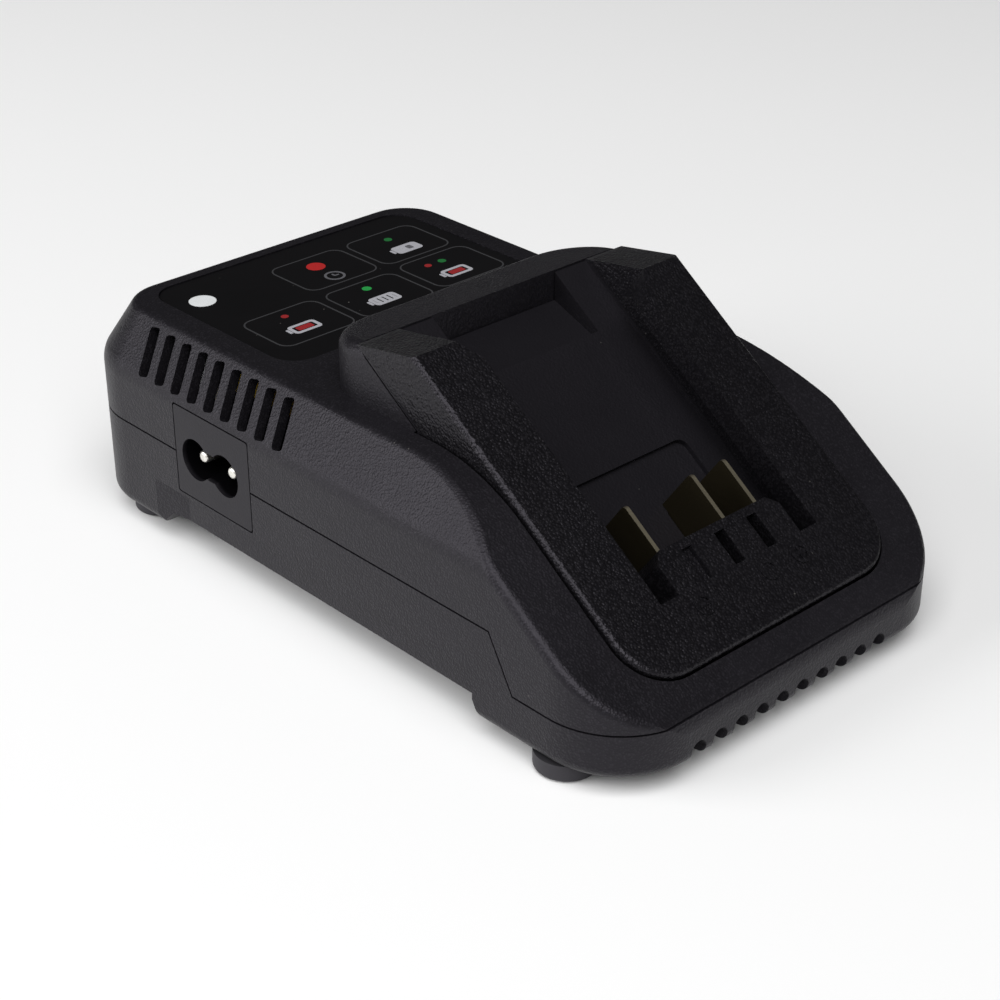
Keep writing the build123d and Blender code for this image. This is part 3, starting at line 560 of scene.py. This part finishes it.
@dataclass(frozen=True)
class SheetMetal:
    """Stamped or plated metal with rolling lines, tarnished clouds, and painted shade on its faces
    across X.

    Attributes:
        name: Material name.
        colour: Colour of the clean metal.
        tarnish_and_shade: Colour of tarnished metal, also painted on the faces across X as shade.
        roughness: Roughness of the clean metal.
        rolled: Axis that the rolling lines follow.
        amount: How much is tarnished.
        flat_shade: How much painted shade the faces across X take over the cut edges, which stay
            bright.
        line: Width of a rolling line.
        line_stretch: Scale of the lines along their axis.
        line_depth: Depth of a rolling line.
        line_rough: Roughness that a line adds.
        cloud: Size of a tarnished cloud.
        cloud_range: Noise values between which a cloud begins.
        flat_shade_range: How far a face is turned to X before it takes the painted shade.
        dull: Roughness that full tarnishing and full painted shade add.
    """

    name: str
    colour: Colour
    tarnish_and_shade: Colour
    roughness: float
    rolled: Axis = Axis.Y
    amount: float = 0.5
    flat_shade: float = 0.0
    line: float = 0.12
    line_stretch: float = 0.05
    line_depth: float = 0.004
    line_rough: float = 0.1
    cloud: float = 2.6
    cloud_range: tuple[float, float] = (0.42, 0.68)
    flat_shade_range: tuple[float, float] = (0.5, 0.9)
    dull: float = 0.3

    def build(self) -> bpy.types.Material:
        """Builds the material.

        Returns:
            The material.
        """
        material, tree, shader, place = new_material(self.name)
        stretch = tree.add("Mapping", vector_type="POINT")
        stretch.inputs["Scale"].default_value = [
            self.line_stretch if axis is self.rolled else 1.0 for axis in Axis]
        tree.join(place, stretch.inputs["Vector"])
        lines = tree.noise(stretch.outputs["Vector"], self.line, detail=3.0)
        cloud = tree.noise(place, self.cloud, detail=5.0, rough=0.65)
        tarnish_and_flat_shade = tree.math("MULTIPLY", tree.ramp(cloud, *self.cloud_range), self.amount)
        # Painted shade: the faces across X are darkened to the tarnished colour while the cut
        # edges stay bright, for the dark faces and lit edges of the blades.
        if self.flat_shade:
            facing = tree.along(Axis.X, tree.add("TexCoord").outputs["Normal"])
            across = tree.ramp(tree.math("ABSOLUTE", facing), *self.flat_shade_range)
            tarnish_and_flat_shade = tree.add_share(tarnish_and_flat_shade, across, self.flat_shade, clamp=True)
        tree.join(tree.mix(tarnish_and_flat_shade, self.colour, self.tarnish_and_shade), shader.inputs["Base Color"])
        rough = tree.add_share(self.roughness, tarnish_and_flat_shade, self.dull)
        tree.join(tree.add_share(rough, lines, self.line_rough, clamp=True),
                  shader.inputs["Roughness"])
        shader.inputs["Metallic"].default_value = 1.0
        add_bump(tree, shader, lines, self.line_depth)
        return material


@dataclass(frozen=True)
class PrintedInk:
    """Screen-printed ink on the overlay.

    Attributes:
        name: Material name.
        colour: Ink colour.
        roughness: Roughness where the ink is thin.
        speck: Size of the thin spots.
        cover_range: Noise values between which the ink comes to cover.
        thin: Tone of thin ink over the full colour.
        smooth: Roughness that full cover takes away.
        specular: Specular level.
        depth: Depth of the thin spots.
    """

    name: str
    colour: Colour
    roughness: float = 0.5
    speck: float = 0.25
    cover_range: tuple[float, float] = (0.25, 0.6)
    thin: float = 0.72
    smooth: float = 0.08
    specular: float = 0.3
    depth: float = 0.004

    def build(self) -> bpy.types.Material:
        """Builds the material.

        Returns:
            The material.
        """
        material, tree, shader, place = new_material(self.name)
        cover = tree.noise(place, self.speck, detail=3.0, rough=0.7)
        cover = tree.ramp(cover, *self.cover_range)
        tree.join(tree.mix(cover, shade(self.colour, self.thin), self.colour),
                  shader.inputs["Base Color"])
        tree.join(tree.add_share(self.roughness, cover, -self.smooth), shader.inputs["Roughness"])
        shader.inputs["Specular IOR Level"].default_value = self.specular
        add_bump(tree, shader, cover, self.depth)
        return material


@dataclass(frozen=True)
class ClearGlass:
    """Clear glass of the fuse's tube.

    Attributes:
        name: Material name.
        tint: Colour of the glass.
        roughness: Roughness of the clean glass.
        smear: Size of a smear.
        smear_range: Noise values between which a smear begins.
        smear_rough: Roughness that a smear adds.
        clear: Transmission weight.
    """

    name: str
    tint: Colour
    roughness: float = 0.05
    smear: float = 3.0
    smear_range: tuple[float, float] = (0.4, 0.7)
    smear_rough: float = 0.1
    clear: float = 0.85

    def build(self) -> bpy.types.Material:
        """Builds the material.

        Returns:
            The material.
        """
        material, tree, shader, place = new_material(self.name)
        smear = tree.ramp(tree.noise(place, self.smear, detail=3.0), *self.smear_range)
        tree.join(tree.add_share(self.roughness, smear, self.smear_rough),
                  shader.inputs["Roughness"])
        shader.inputs["Base Color"].default_value = (*self.tint, 1.0)
        shader.inputs["Transmission Weight"].default_value = self.clear
        return material


@dataclass(frozen=True)
class WoundWire:
    """Turns of enamelled wire or tape around an upright axis.

    Attributes:
        name: Material name.
        colour: Colour of the crest of a turn.
        gap: Colour between turns.
        pitch: Distance between turns.
        metallic: How much of a metal it is.
        wander: How uneven the turns are.
        turn_range: Wave values between which a turn rises from its gap.
        roughness: Roughness between turns.
        gloss: Roughness that a crest loses.
        depth: Depth of the gaps.
    """

    name: str
    colour: Colour
    gap: Colour
    pitch: float
    metallic: float = 0.0
    wander: float = 0.6
    turn_range: tuple[float, float] = (0.15, 0.6)
    roughness: float = 0.5
    gloss: float = 0.2
    depth: float = 0.08

    def build(self) -> bpy.types.Material:
        """Builds the material.

        Returns:
            The material.
        """
        material, tree, shader, place = new_material(self.name)
        bands = tree.add("TexWave", wave_type="BANDS", bands_direction="Z", wave_profile="SIN")
        bands.inputs["Scale"].default_value = WAVE_PERIOD / (self.pitch * MM)
        bands.inputs["Distortion"].default_value = self.wander
        tree.join(place, bands.inputs["Vector"])
        turn = tree.ramp(bands.outputs["Fac"], *self.turn_range)
        tree.join(tree.mix(turn, self.gap, self.colour), shader.inputs["Base Color"])
        tree.join(tree.add_share(self.roughness, turn, -self.gloss), shader.inputs["Roughness"])
        shader.inputs["Metallic"].default_value = self.metallic
        add_bump(tree, shader, bands.outputs["Fac"], self.depth)
        return material


class Finish(Enum):
    """Finishes of the charger, each with the recipe that builds it."""

    CASE = MouldedPlastic("case_fine_grain", (0.0076, 0.007, 0.0086), roughness=0.42,
                          depth=0.065, irregular=0.8, crest_glint=0.15, specular=0.27)
    DOCK = MouldedPlastic("dock_coarse_grain", (0.004, 0.0037, 0.0045), roughness=0.36,
                          cell=0.46, depth=0.12, irregular=1.0, crest_glint=0.14, dust=0.3,
                          specular=0.27, bed=10.3)
    INLET = MouldedPlastic("inlet_fine_grain", (0.0076, 0.007, 0.0086), roughness=0.44,
                           cell=0.36, depth=0.016, irregular=0.6, crest_glint=0.15, specular=0.26,
                           socket=1.2)
    LABEL = MouldedPlastic("label_film", (0.004, 0.0038, 0.0042), roughness=0.36, cell=0.18,
                           depth=0.004, irregular=0.3, crest_glint=0.02, dust=0.5, specular=0.16)
    # Painted light: the feet are coloured about four times lighter than the case, whose tone they
    # share, to make up for the shadow under the charger.
    FOOT = MouldedPlastic("foot_rubber", (0.03, 0.029, 0.032), roughness=0.6, cell=0.3,
                          crest_glint=0.03, dust=0.3, specular=0.35)
    LENS = MouldedPlastic("lens_white", (0.8, 0.82, 0.83), roughness=0.25, cell=0.6,
                          depth=0.002, irregular=0.2, crest_glint=0.0, dust=0.0, specular=0.5,
                          coat=0.3)
    BOARD = MouldedPlastic("board_mask", (0.012, 0.07, 0.03), roughness=0.3, cell=1.2,
                           depth=0.02, irregular=0.4, dust=0.1, specular=0.5, coat=0.4)
    BLOCK = MouldedPlastic("part_black", (0.012, 0.012, 0.012), roughness=0.5, cell=0.3,
                           depth=0.008, irregular=0.4, crest_glint=0.05, dust=0.1)
    FILM = MouldedPlastic("capacitor_yellow", (0.55, 0.37, 0.03), roughness=0.28, cell=0.8,
                          depth=0.006, irregular=0.4, crest_glint=0.05, dust=0.1, specular=0.5,
                          coat=0.3)
    SLEEVE = MouldedPlastic("capacitor_sleeve", (0.015, 0.02, 0.05), roughness=0.25, cell=1.0,
                            depth=0.008, irregular=0.3, crest_glint=0.03, dust=0.1, specular=0.5,
                            coat=0.4)
    FERRITE = MouldedPlastic("core_ferrite", (0.03, 0.029, 0.028), roughness=0.6, depth=0.02,
                             irregular=0.8)
    WIRE = MouldedPlastic("wire_red", (0.3, 0.015, 0.012), roughness=0.35, cell=0.6,
                          depth=0.004, irregular=0.3, crest_glint=0.02, dust=0.1)
    # The blades' faces across X are painted in shade.
    BRASS = SheetMetal("blade_brass", (0.92, 0.82, 0.6), (0.055, 0.045, 0.026),
                       roughness=0.24, amount=0.12, flat_shade=1.0)
    PIN = SheetMetal("pin_nickel", (0.92, 0.9, 0.84), (0.6, 0.56, 0.48), roughness=0.32,
                     rolled=Axis.X, amount=0.1)
    STEEL = SheetMetal("screw_zinc", (0.62, 0.62, 0.64), (0.35, 0.33, 0.3), roughness=0.32,
                       rolled=Axis.Z)
    SINK = SheetMetal("sink_aluminium", (0.75, 0.75, 0.77), (0.5, 0.5, 0.52), roughness=0.35,
                      rolled=Axis.Z, amount=0.4)
    TAPE = WoundWire("winding_tape", (0.28, 0.18, 0.03), (0.12, 0.075, 0.01), pitch=1.6)
    COPPER = WoundWire("choke_copper", (0.62, 0.25, 0.08), (0.12, 0.04, 0.015), pitch=0.7,
                       metallic=0.8)
    GLASS = ClearGlass("fuse_glass", (0.85, 0.9, 0.9))
    INK_GREY = PrintedInk("ink_grey", (0.042, 0.042, 0.045))
    INK_MID_GREY = PrintedInk("ink_mid_grey", (0.11, 0.11, 0.12))
    INK_WHITE = PrintedInk("ink_white", (0.4, 0.4, 0.43))
    INK_RED = PrintedInk("ink_red", (0.42, 0.02, 0.02))
    INK_DULL_RED = PrintedInk("ink_dull_red", (0.28, 0.02, 0.022))
    INK_GREEN = PrintedInk("ink_green", (0.02, 0.3, 0.06))
    INK_DULL_GREEN = PrintedInk("ink_dull_green", (0.015, 0.14, 0.035))


class MaterialShelf:
    """Built materials, one for each finish in use."""

    def __init__(self) -> None:
        """Starts empty."""
        self._made: dict[Finish, bpy.types.Material] = {}

    def get(self, finish: Finish) -> bpy.types.Material:
        """Gives the material of a finish, and builds it on its first use.

        Args:
            finish: Which finish.

        Returns:
            The material.
        """
        if finish not in self._made:
            self._made[finish] = finish.value.build()
        return self._made[finish]


SHELF = MaterialShelf()

SLOT_FINISH: dict[str, Finish] = {
    "case_plastic": Finish.CASE, "dock_plastic": Finish.DOCK, "inlet_plastic": Finish.INLET,
    LABEL_SLOT: Finish.LABEL, "lens_white": Finish.LENS, "foot_rubber": Finish.FOOT,
    "terminal_brass": Finish.BRASS, "pin_nickel": Finish.PIN, "screw_steel": Finish.STEEL,
    "board_laminate": Finish.BOARD, "block_plastic": Finish.BLOCK, "film_yellow": Finish.FILM,
    "can_sleeve": Finish.SLEEVE, "ferrite": Finish.FERRITE, "winding_tape": Finish.TAPE,
    "choke_copper": Finish.COPPER, "sink_aluminium": Finish.SINK, "fuse_glass": Finish.GLASS,
    "wire_insulation": Finish.WIRE}


# ------------------------------------------------------------------ meshes
class MeshMaker:
    """Turns a bmesh in millimetres into a finished piece in the shared frame."""

    def __init__(self, name: str, finish: Finish, slot: str) -> None:
        """Starts an empty bmesh.

        Args:
            name: Piece name.
            finish: Finish of the piece.
            slot: Slot of the record meant for the piece; not used.
        """
        self.name = name
        self.finish = finish
        self.slot = slot
        self.bm = bmesh.new()

    def _lay(self, points: list[Vector], low: float) -> list[bmesh.types.BMVert]:
        """Adds the points of an outline at a height, in the same order."""
        return [self.bm.verts.new((point.x, point.y, low)) for point in points]

    def _thicken(self, faces: list[bmesh.types.BMFace], thick: float) -> None:
        """Raises level faces to a solid.

        Args:
            faces: Faces of the underside.
            thick: Thickness.
        """
        raised = bmesh.ops.extrude_face_region(self.bm, geom=faces)
        tops = [item for item in raised["geom"] if isinstance(item, bmesh.types.BMVert)]
        bmesh.ops.translate(self.bm, verts=tops, vec=(0, 0, thick))

    def plate(self, outline: list[Vector], low: float, thick: float) -> None:
        """Adds a level plate with the given outline.

        Args:
            outline: Corner points in order.
            low: Height of the underside.
            thick: Thickness.
        """
        self._thicken([self.bm.faces.new(self._lay(outline, low))], thick)

    def ring(self, outer: list[Vector], inner: list[Vector], low: float, thick: float) -> None:
        """Adds a level ring between two outlines of the same number of points.

        Args:
            outer: Outer points.
            inner: Inner points.
            low: Height of the underside.
            thick: Thickness.
        """
        edges: list[bmesh.types.BMEdge] = []
        for points in (outer, inner):
            verts = self._lay(points, low)
            edges += [self.bm.edges.new(pair) for pair in zip(verts, verts[1:] + verts[:1])]
        self._thicken(bmesh.ops.bridge_loops(self.bm, edges=edges)["faces"], thick)

    def finish_piece(self) -> bpy.types.Object:
        """Makes the object, turns its faces outwards and hands it to the frame.

        Returns:
            The finished object.
        """
        bmesh.ops.scale(self.bm, vec=(MM, MM, MM), verts=self.bm.verts[:])
        bmesh.ops.recalc_face_normals(self.bm, faces=self.bm.faces[:])
        mesh = bpy.data.meshes.new(self.name)
        self.bm.to_mesh(mesh)
        self.bm.free()
        piece = bpy.data.objects.new(self.name, mesh)
        bpy.context.collection.objects.link(piece)
        mesh.materials.append(SHELF.get(self.finish))
        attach(piece, BODY)
        LOG.info("piece %s: %d faces", self.name, len(mesh.polygons))
        return piece


@dataclass(frozen=True)
class Patch:
    """Rectangle of ink with rounded corners.

    Attributes:
        width: Size along X.
        depth: Size along Y.
        corner: Corner radius.
    """

    width: float
    depth: float
    corner: float

    def inset(self, across: float, along: float, corner: float) -> Patch:
        """Gives a smaller patch.

        Args:
            across: What it loses on each side along X.
            along: What it loses on each side along Y.
            corner: Its corner radius.

        Returns:
            The smaller patch.
        """
        return Patch(self.width - 2 * across, self.depth - 2 * along, corner)

    def at(self, x: float, y: float) -> list[Vector]:
        """Gives its points around a middle, counter-clockwise.

        Args:
            x: Middle along X.
            y: Middle along Y.

        Returns:
            The points.
        """
        points: list[Vector] = []
        for quarter, (side_x, side_y) in enumerate(((1, 1), (-1, 1), (-1, -1), (1, -1))):
            corner_x = x + side_x * (self.width / 2 - self.corner)
            corner_y = y + side_y * (self.depth / 2 - self.corner)
            for run in range(CORNER_RUNS + 1):
                angle = math.radians(90 * quarter + 90 * run / CORNER_RUNS)
                points.append(Vector((corner_x + self.corner * math.cos(angle),
                                      corner_y + self.corner * math.sin(angle), 0)))
        return points


def circle(x: float, y: float, radius: float) -> list[Vector]:
    """Gives the points of a circle, counter-clockwise.

    Args:
        x: Middle along X.
        y: Middle along Y.
        radius: Radius.

    Returns:
        The points.
    """
    angles = [2 * math.pi * k / CIRCLE_POINTS for k in range(CIRCLE_POINTS)]
    return [Vector((x + radius * math.cos(a), y + radius * math.sin(a), 0)) for a in angles]


# ------------------------------------------------------------------ sub-assemblies
class Mark(Enum):
    """What a pictogram shows."""

    OUTLINE_RED = "battery outline with a red bar"
    BARS = "battery outline full of bars"
    DARK_CENTRE = "solid battery with a dark mark"
    RING = "ring with two hands"


@dataclass
class Pictogram:
    """One framed pictogram of the label.

    Attributes:
        key: Letter that names its pieces.
        centre: Middle of the frame.
        mark: Kind of symbol.
        symbol: Middle of the symbol.
        dots: Places, radii and inks of the light dots.
    """

    key: str
    centre: tuple[float, float]
    mark: Mark
    symbol: tuple[float, float]
    dots: list[tuple[float, float, float, Finish]]


@dataclass
class PrintedLabel:
    """Ink on the label overlay.

    Attributes:
        surface: Height of the overlay's top.
        pictograms: The pictograms.
        ink: Thickness of the ink.
        frame: Outside of a pictogram's frame.
        line: Width of a frame's line.
        battery: Outside of the battery symbol.
        battery_line: Width of the battery's line.
        battery_hollow: Corner radius inside that line.
        nub_width: Width of the contact at the battery's end.
        nub_share: Depth of the contact over that of the battery.
        nub_corner: Corner radius of the contact.
        nub_gap: Distance from the battery's end to the contact's middle.
        bars: Number of bars in a full battery.
        bar_pitch: Distance between the bars.
        bar_share: Width of a bar over the pitch.
        bar_margin: Room between a bar and the battery's outside on Y.
        bar_corner: Corner radius of a bar.
        bar_ink: Thickness of a bar over that of the ink.
        red_margin: Room between the red bar and the battery's outside on X and Y.
        red_corner: Corner radius of the red bar.
        spot: Dark mark on a solid battery.
        spot_shift: How far that mark lies from the middle.
        ring: Outer and inner radius of the ring.
        hand_across: Hand of the ring that lies along X.
        hand_along: Hand of the ring that lies along Y.
        hand_shift: How far the two hands lie from the middle.
        hand_ink: Thickness of the second hand over that of the ink.
    """

    surface: float
    pictograms: list[Pictogram]
    ink: float = 0.04
    frame: Patch = Patch(17.4, 14.3, 2.6)
    line: float = 0.32
    battery: Patch = Patch(6.2, 3.6, 0.9)
    battery_line: float = 0.75
    battery_hollow: float = 0.35
    nub_width: float = 0.6
    nub_share: float = 0.5
    nub_corner: float = 0.2
    nub_gap: float = 0.45
    bars: int = 4
    bar_pitch: float = 1.2
    bar_share: float = 0.7
    bar_margin: float = 0.65
    bar_corner: float = 0.15
    bar_ink: float = 1.1
    red_margin: tuple[float, float] = (1.35, 1.0)
    red_corner: float = 0.3
    spot: Patch = Patch(1.3, 1.6, 0.3)
    spot_shift: float = 0.6
    ring: tuple[float, float] = (2.1, 1.6)
    hand_across: Patch = Patch(1.1, 0.4, 0.15)
    hand_along: Patch = Patch(0.4, 1.1, 0.15)
    hand_shift: tuple[float, float] = (0.45, 0.4)
    hand_ink: float = 1.2

    def build(self) -> None:
        """Builds the ink of every pictogram."""
        for item in self.pictograms:
            self._frame(item)
            self._dots(item)
            if item.mark is Mark.RING:
                self._ring(item)
            else:
                self._battery(item)

    def _make(self, name: str, finish: Finish) -> MeshMaker:
        """Starts a piece of ink."""
        return MeshMaker("ink_" + name, finish, LABEL_SLOT)

    def _frame(self, item: Pictogram) -> None:
        """Builds the thin rounded frame around a pictogram.

        Args:
            item: The pictogram.
        """
        maker = self._make(f"frame_{item.key}", Finish.INK_GREY)
        inner = self.frame.inset(self.line, self.line, self.frame.corner - self.line)
        maker.ring(self.frame.at(*item.centre), inner.at(*item.centre), self.surface, self.ink)
        maker.finish_piece()

    def _dots(self, item: Pictogram) -> None:
        """Builds the coloured dots that stand for the light.

        Args:
            item: The pictogram.
        """
        for number, (x, y, radius, ink) in enumerate(item.dots):
            maker = self._make(f"dot_{item.key}{number}", ink)
            maker.plate(circle(x, y, radius), self.surface, self.ink)
            maker.finish_piece()

    def _ring(self, item: Pictogram) -> None:
        """Builds the ring symbol with its two hands.

        Args:
            item: The pictogram.
        """
        x, y = item.symbol
        shift_x, shift_y = self.hand_shift
        outer, inner = (circle(x, y, radius) for radius in self.ring)
        maker = self._make(f"ring_{item.key}", Finish.INK_MID_GREY)
        maker.ring(outer, inner, self.surface, self.ink)
        maker.plate(self.hand_across.at(x + shift_x, y), self.surface, self.ink)
        maker.plate(self.hand_along.at(x, y + shift_y), self.surface, self.ink * self.hand_ink)
        maker.finish_piece()

    def _battery(self, item: Pictogram) -> None:
        """Builds the battery symbol of a pictogram and what it shows inside.

        Args:
            item: The pictogram.
        """
        x, y = item.symbol
        body = self._make(f"battery_{item.key}", Finish.INK_WHITE)
        nub = Patch(self.nub_width, self.battery.depth * self.nub_share, self.nub_corner)
        body.plate(nub.at(x - self.battery.width / 2 - self.nub_gap, y), self.surface, self.ink)
        if item.mark is Mark.DARK_CENTRE:
            body.plate(self.battery.at(x, y), self.surface, self.ink)
            self._inlay("spot", item, Finish.INK_MID_GREY, self.spot.at(x + self.spot_shift, y),
                        self.surface + self.ink)
        else:
            hollow = self.battery.inset(self.battery_line, self.battery_line,
                                        self.battery_hollow)
            body.ring(self.battery.at(x, y), hollow.at(x, y), self.surface, self.ink)
        if item.mark is Mark.BARS:
            bar = Patch(self.bar_pitch * self.bar_share,
                        self.battery.depth - 2 * self.bar_margin, self.bar_corner)
            for number in range(self.bars):
                shift = (number - (self.bars - 1) / 2) * self.bar_pitch
                body.plate(bar.at(x + shift, y), self.surface, self.ink * self.bar_ink)
        elif item.mark is Mark.OUTLINE_RED:
            bar = self.battery.inset(*self.red_margin, self.red_corner)
            self._inlay("bar", item, Finish.INK_DULL_RED, bar.at(x, y), self.surface)
        body.finish_piece()

    def _inlay(self, name: str, item: Pictogram, finish: Finish, outline: list[Vector],
               low: float) -> None:
        """Builds a plate of another ink within a battery symbol.

        Args:
            name: What the piece is called before the pictogram's letter.
            item: The pictogram.
            finish: Ink of the plate.
            outline: Corner points in order.
            low: Height of the underside.
        """
        maker = self._make(f"{name}_{item.key}", finish)
        maker.plate(outline, low, self.ink)
        maker.finish_piece()


@dataclass(frozen=True)
class SoftBox:
    """One square area light, in metres and watts.

    Attributes:
        name: Light name.
        place: Position.
        aim: Point that it faces.
        size: Side of the light.
        power: Power.
    """

    name: str
    place: tuple[float, float, float]
    aim: tuple[float, float, float]
    size: float
    power: float

    def build(self) -> None:
        """Hangs the light."""
        data = bpy.data.lights.new(self.name, "AREA")
        data.shape = "SQUARE"
        data.size = self.size
        data.energy = self.power
        lamp = bpy.data.objects.new(self.name, data)
        bpy.context.collection.objects.link(lamp)
        lamp.location = self.place
        gaze = Vector(self.aim) - Vector(self.place)
        lamp.rotation_euler = gaze.to_track_quat("-Z", "Y").to_euler()


@dataclass
class Studio:
    """Camera, floor, lights and surround.

    Attributes:
        focal: Focal length.
        sensor: Width of the sensor.
        clip: Nearest and farthest distance that the camera sees, in metres.
        eye: Camera position.
        yaw: Heading from +Y towards +X, in degrees.
        pitch: Angle below the horizon, in degrees.
        roll: Roll in degrees.
        floor_size: Side of the floor in metres.
        floor_drop: Gap between the feet and the floor.
        floor_cloud: Size of the floor's faint clouds.
        floor_tones: Darkest and lightest grey of the floor.
        floor_rough: Roughness of the floor.
        floor_specular: Specular level of the floor.
        surround: Strength of the even white surround.
        lights: The soft boxes.
    """

    focal: float = 75.19
    sensor: float = 36.0
    clip: tuple[float, float] = (0.01, 50.0)
    eye: tuple[float, float, float] = (-231.5, -248.5, 200.2)
    yaw: float = 43.04
    pitch: float = 29.08
    roll: float = -0.05
    floor_size: float = 6.0
    floor_drop: float = 0.2
    floor_cloud: float = 400.0
    floor_tones: tuple[float, float] = (0.9, 0.94)
    floor_rough: float = 0.9
    floor_specular: float = 0.1
    surround: float = 0.045
    lights: tuple[SoftBox, ...] = (
        SoftBox("soft_top", (-0.85, -0.85, 1.85), (0.0, 0.0, 0.0), size=2.2, power=60.0),
        SoftBox("key_left", (-1.05, 0.6, 0.5), (0.0, 0.0, 0.03), size=0.8, power=9.5))

    def _camera(self) -> None:
        """Places the camera."""
        data = bpy.data.cameras.new("camera")
        data.lens = self.focal
        data.sensor_width = self.sensor
        data.sensor_fit = "HORIZONTAL"
        data.clip_start, data.clip_end = self.clip
        camera = bpy.data.objects.new("camera", data)
        bpy.context.collection.objects.link(camera)
        turn = (Matrix.Rotation(math.radians(-self.yaw), 4, "Z")
                @ Matrix.Rotation(math.radians(90.0 - self.pitch), 4, "X")
                @ Matrix.Rotation(math.radians(self.roll), 4, "Z"))
        camera.matrix_world = Matrix.Translation(Vector(self.eye) * MM) @ turn
        bpy.context.scene.camera = camera

    def _floor(self) -> None:
        """Lays the plain pale floor."""
        bm = bmesh.new()
        bmesh.ops.create_grid(bm, x_segments=2, y_segments=2, size=self.floor_size / 2)
        bmesh.ops.translate(bm, verts=bm.verts[:], vec=(0, 0, -self.floor_drop * MM))
        mesh = bpy.data.meshes.new("floor")
        bm.to_mesh(mesh)
        bm.free()
        floor = bpy.data.objects.new("floor", mesh)
        bpy.context.collection.objects.link(floor)
        material, tree, shader, place = new_material("floor_pale")
        cloud = tree.noise(place, self.floor_cloud, detail=2.0)
        tree.join(tree.mix(cloud, *((tone, tone, tone) for tone in self.floor_tones)),
                  shader.inputs["Base Color"])
        shader.inputs["Roughness"].default_value = self.floor_rough
        shader.inputs["Specular IOR Level"].default_value = self.floor_specular
        mesh.materials.append(material)

    def _world(self) -> None:
        """Sets an even white surround."""
        world = bpy.data.worlds.new("surround")
        world.use_nodes = True
        background = world.node_tree.nodes["Background"]
        background.inputs["Color"].default_value = (1.0, 1.0, 1.0, 1.0)
        background.inputs["Strength"].default_value = self.surround
        bpy.context.scene.world = world

    def build(self) -> None:
        """Builds the whole studio."""
        self._camera()
        self._floor()
        self._world()
        for light in self.lights:
            light.build()
        bpy.context.scene.view_settings.view_transform = "Standard"


class Charger:
    """The whole charger: its CAD nodes with their finishes, and the printed label."""

    def __init__(self, frame: dict) -> None:
        """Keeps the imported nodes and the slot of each.
        """
        self.nodes: dict[str, bpy.types.Object] = frame["nodes"]
        self.slots: dict[str, str] = {item["node"]: item["material_slot"]
                                      for item in frame["record"]["subparts"]}

    def dress_nodes(self) -> None:
        """Gives every CAD node the finish of its slot."""
        for name, node in sorted(self.nodes.items()):
            finish = SLOT_FINISH[self.slots[name]]
            node.data.materials.clear()
            node.data.materials.append(SHELF.get(finish))
            LOG.info("node %s: %s", name, finish.value.name)

    def label(self) -> PrintedLabel:
        """Describes the ink of the label.

        Returns:
            The label, on the top of the overlay.
        """
        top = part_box("label_overlay")[1][2] / MM
        red, green = Finish.INK_RED, Finish.INK_GREEN
        dull_red, dull_green = Finish.INK_DULL_RED, Finish.INK_DULL_GREEN
        items = [
            Pictogram("a", (-18.6, 33.5), Mark.OUTLINE_RED, (-18.8, 31.6),
                      [(-18.7, 37.7, 0.75, dull_red)]),
            Pictogram("b", (0.6, 33.4), Mark.BARS, (0.2, 31.3), [(0.7, 37.3, 0.95, green)]),
            Pictogram("c", (0.6, 50.0), Mark.RING, (0.3, 46.4), [(0.4, 52.4, 1.9, red)]),
            Pictogram("d", (19.5, 50.2), Mark.DARK_CENTRE, (19.7, 47.6),
                      [(19.7, 53.4, 0.85, dull_green)]),
            Pictogram("e", (20.0, 34.5), Mark.OUTLINE_RED, (19.1, 32.1),
                      [(16.7, 37.8, 0.75, dull_red), (20.3, 37.8, 0.85, dull_green)])]
        return PrintedLabel(surface=top, pictograms=items)

    def build(self) -> None:
        """Dresses the nodes and builds the label."""
        self.dress_nodes()
        self.label().build()


def main() -> None:
    """Builds the scene: studio and charger."""
    logging.basicConfig(level=logging.INFO, format="%(name)s %(message)s")
    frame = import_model()
    Studio().build()
    Charger(frame).build()


if __name__ == "__main__":
    main()
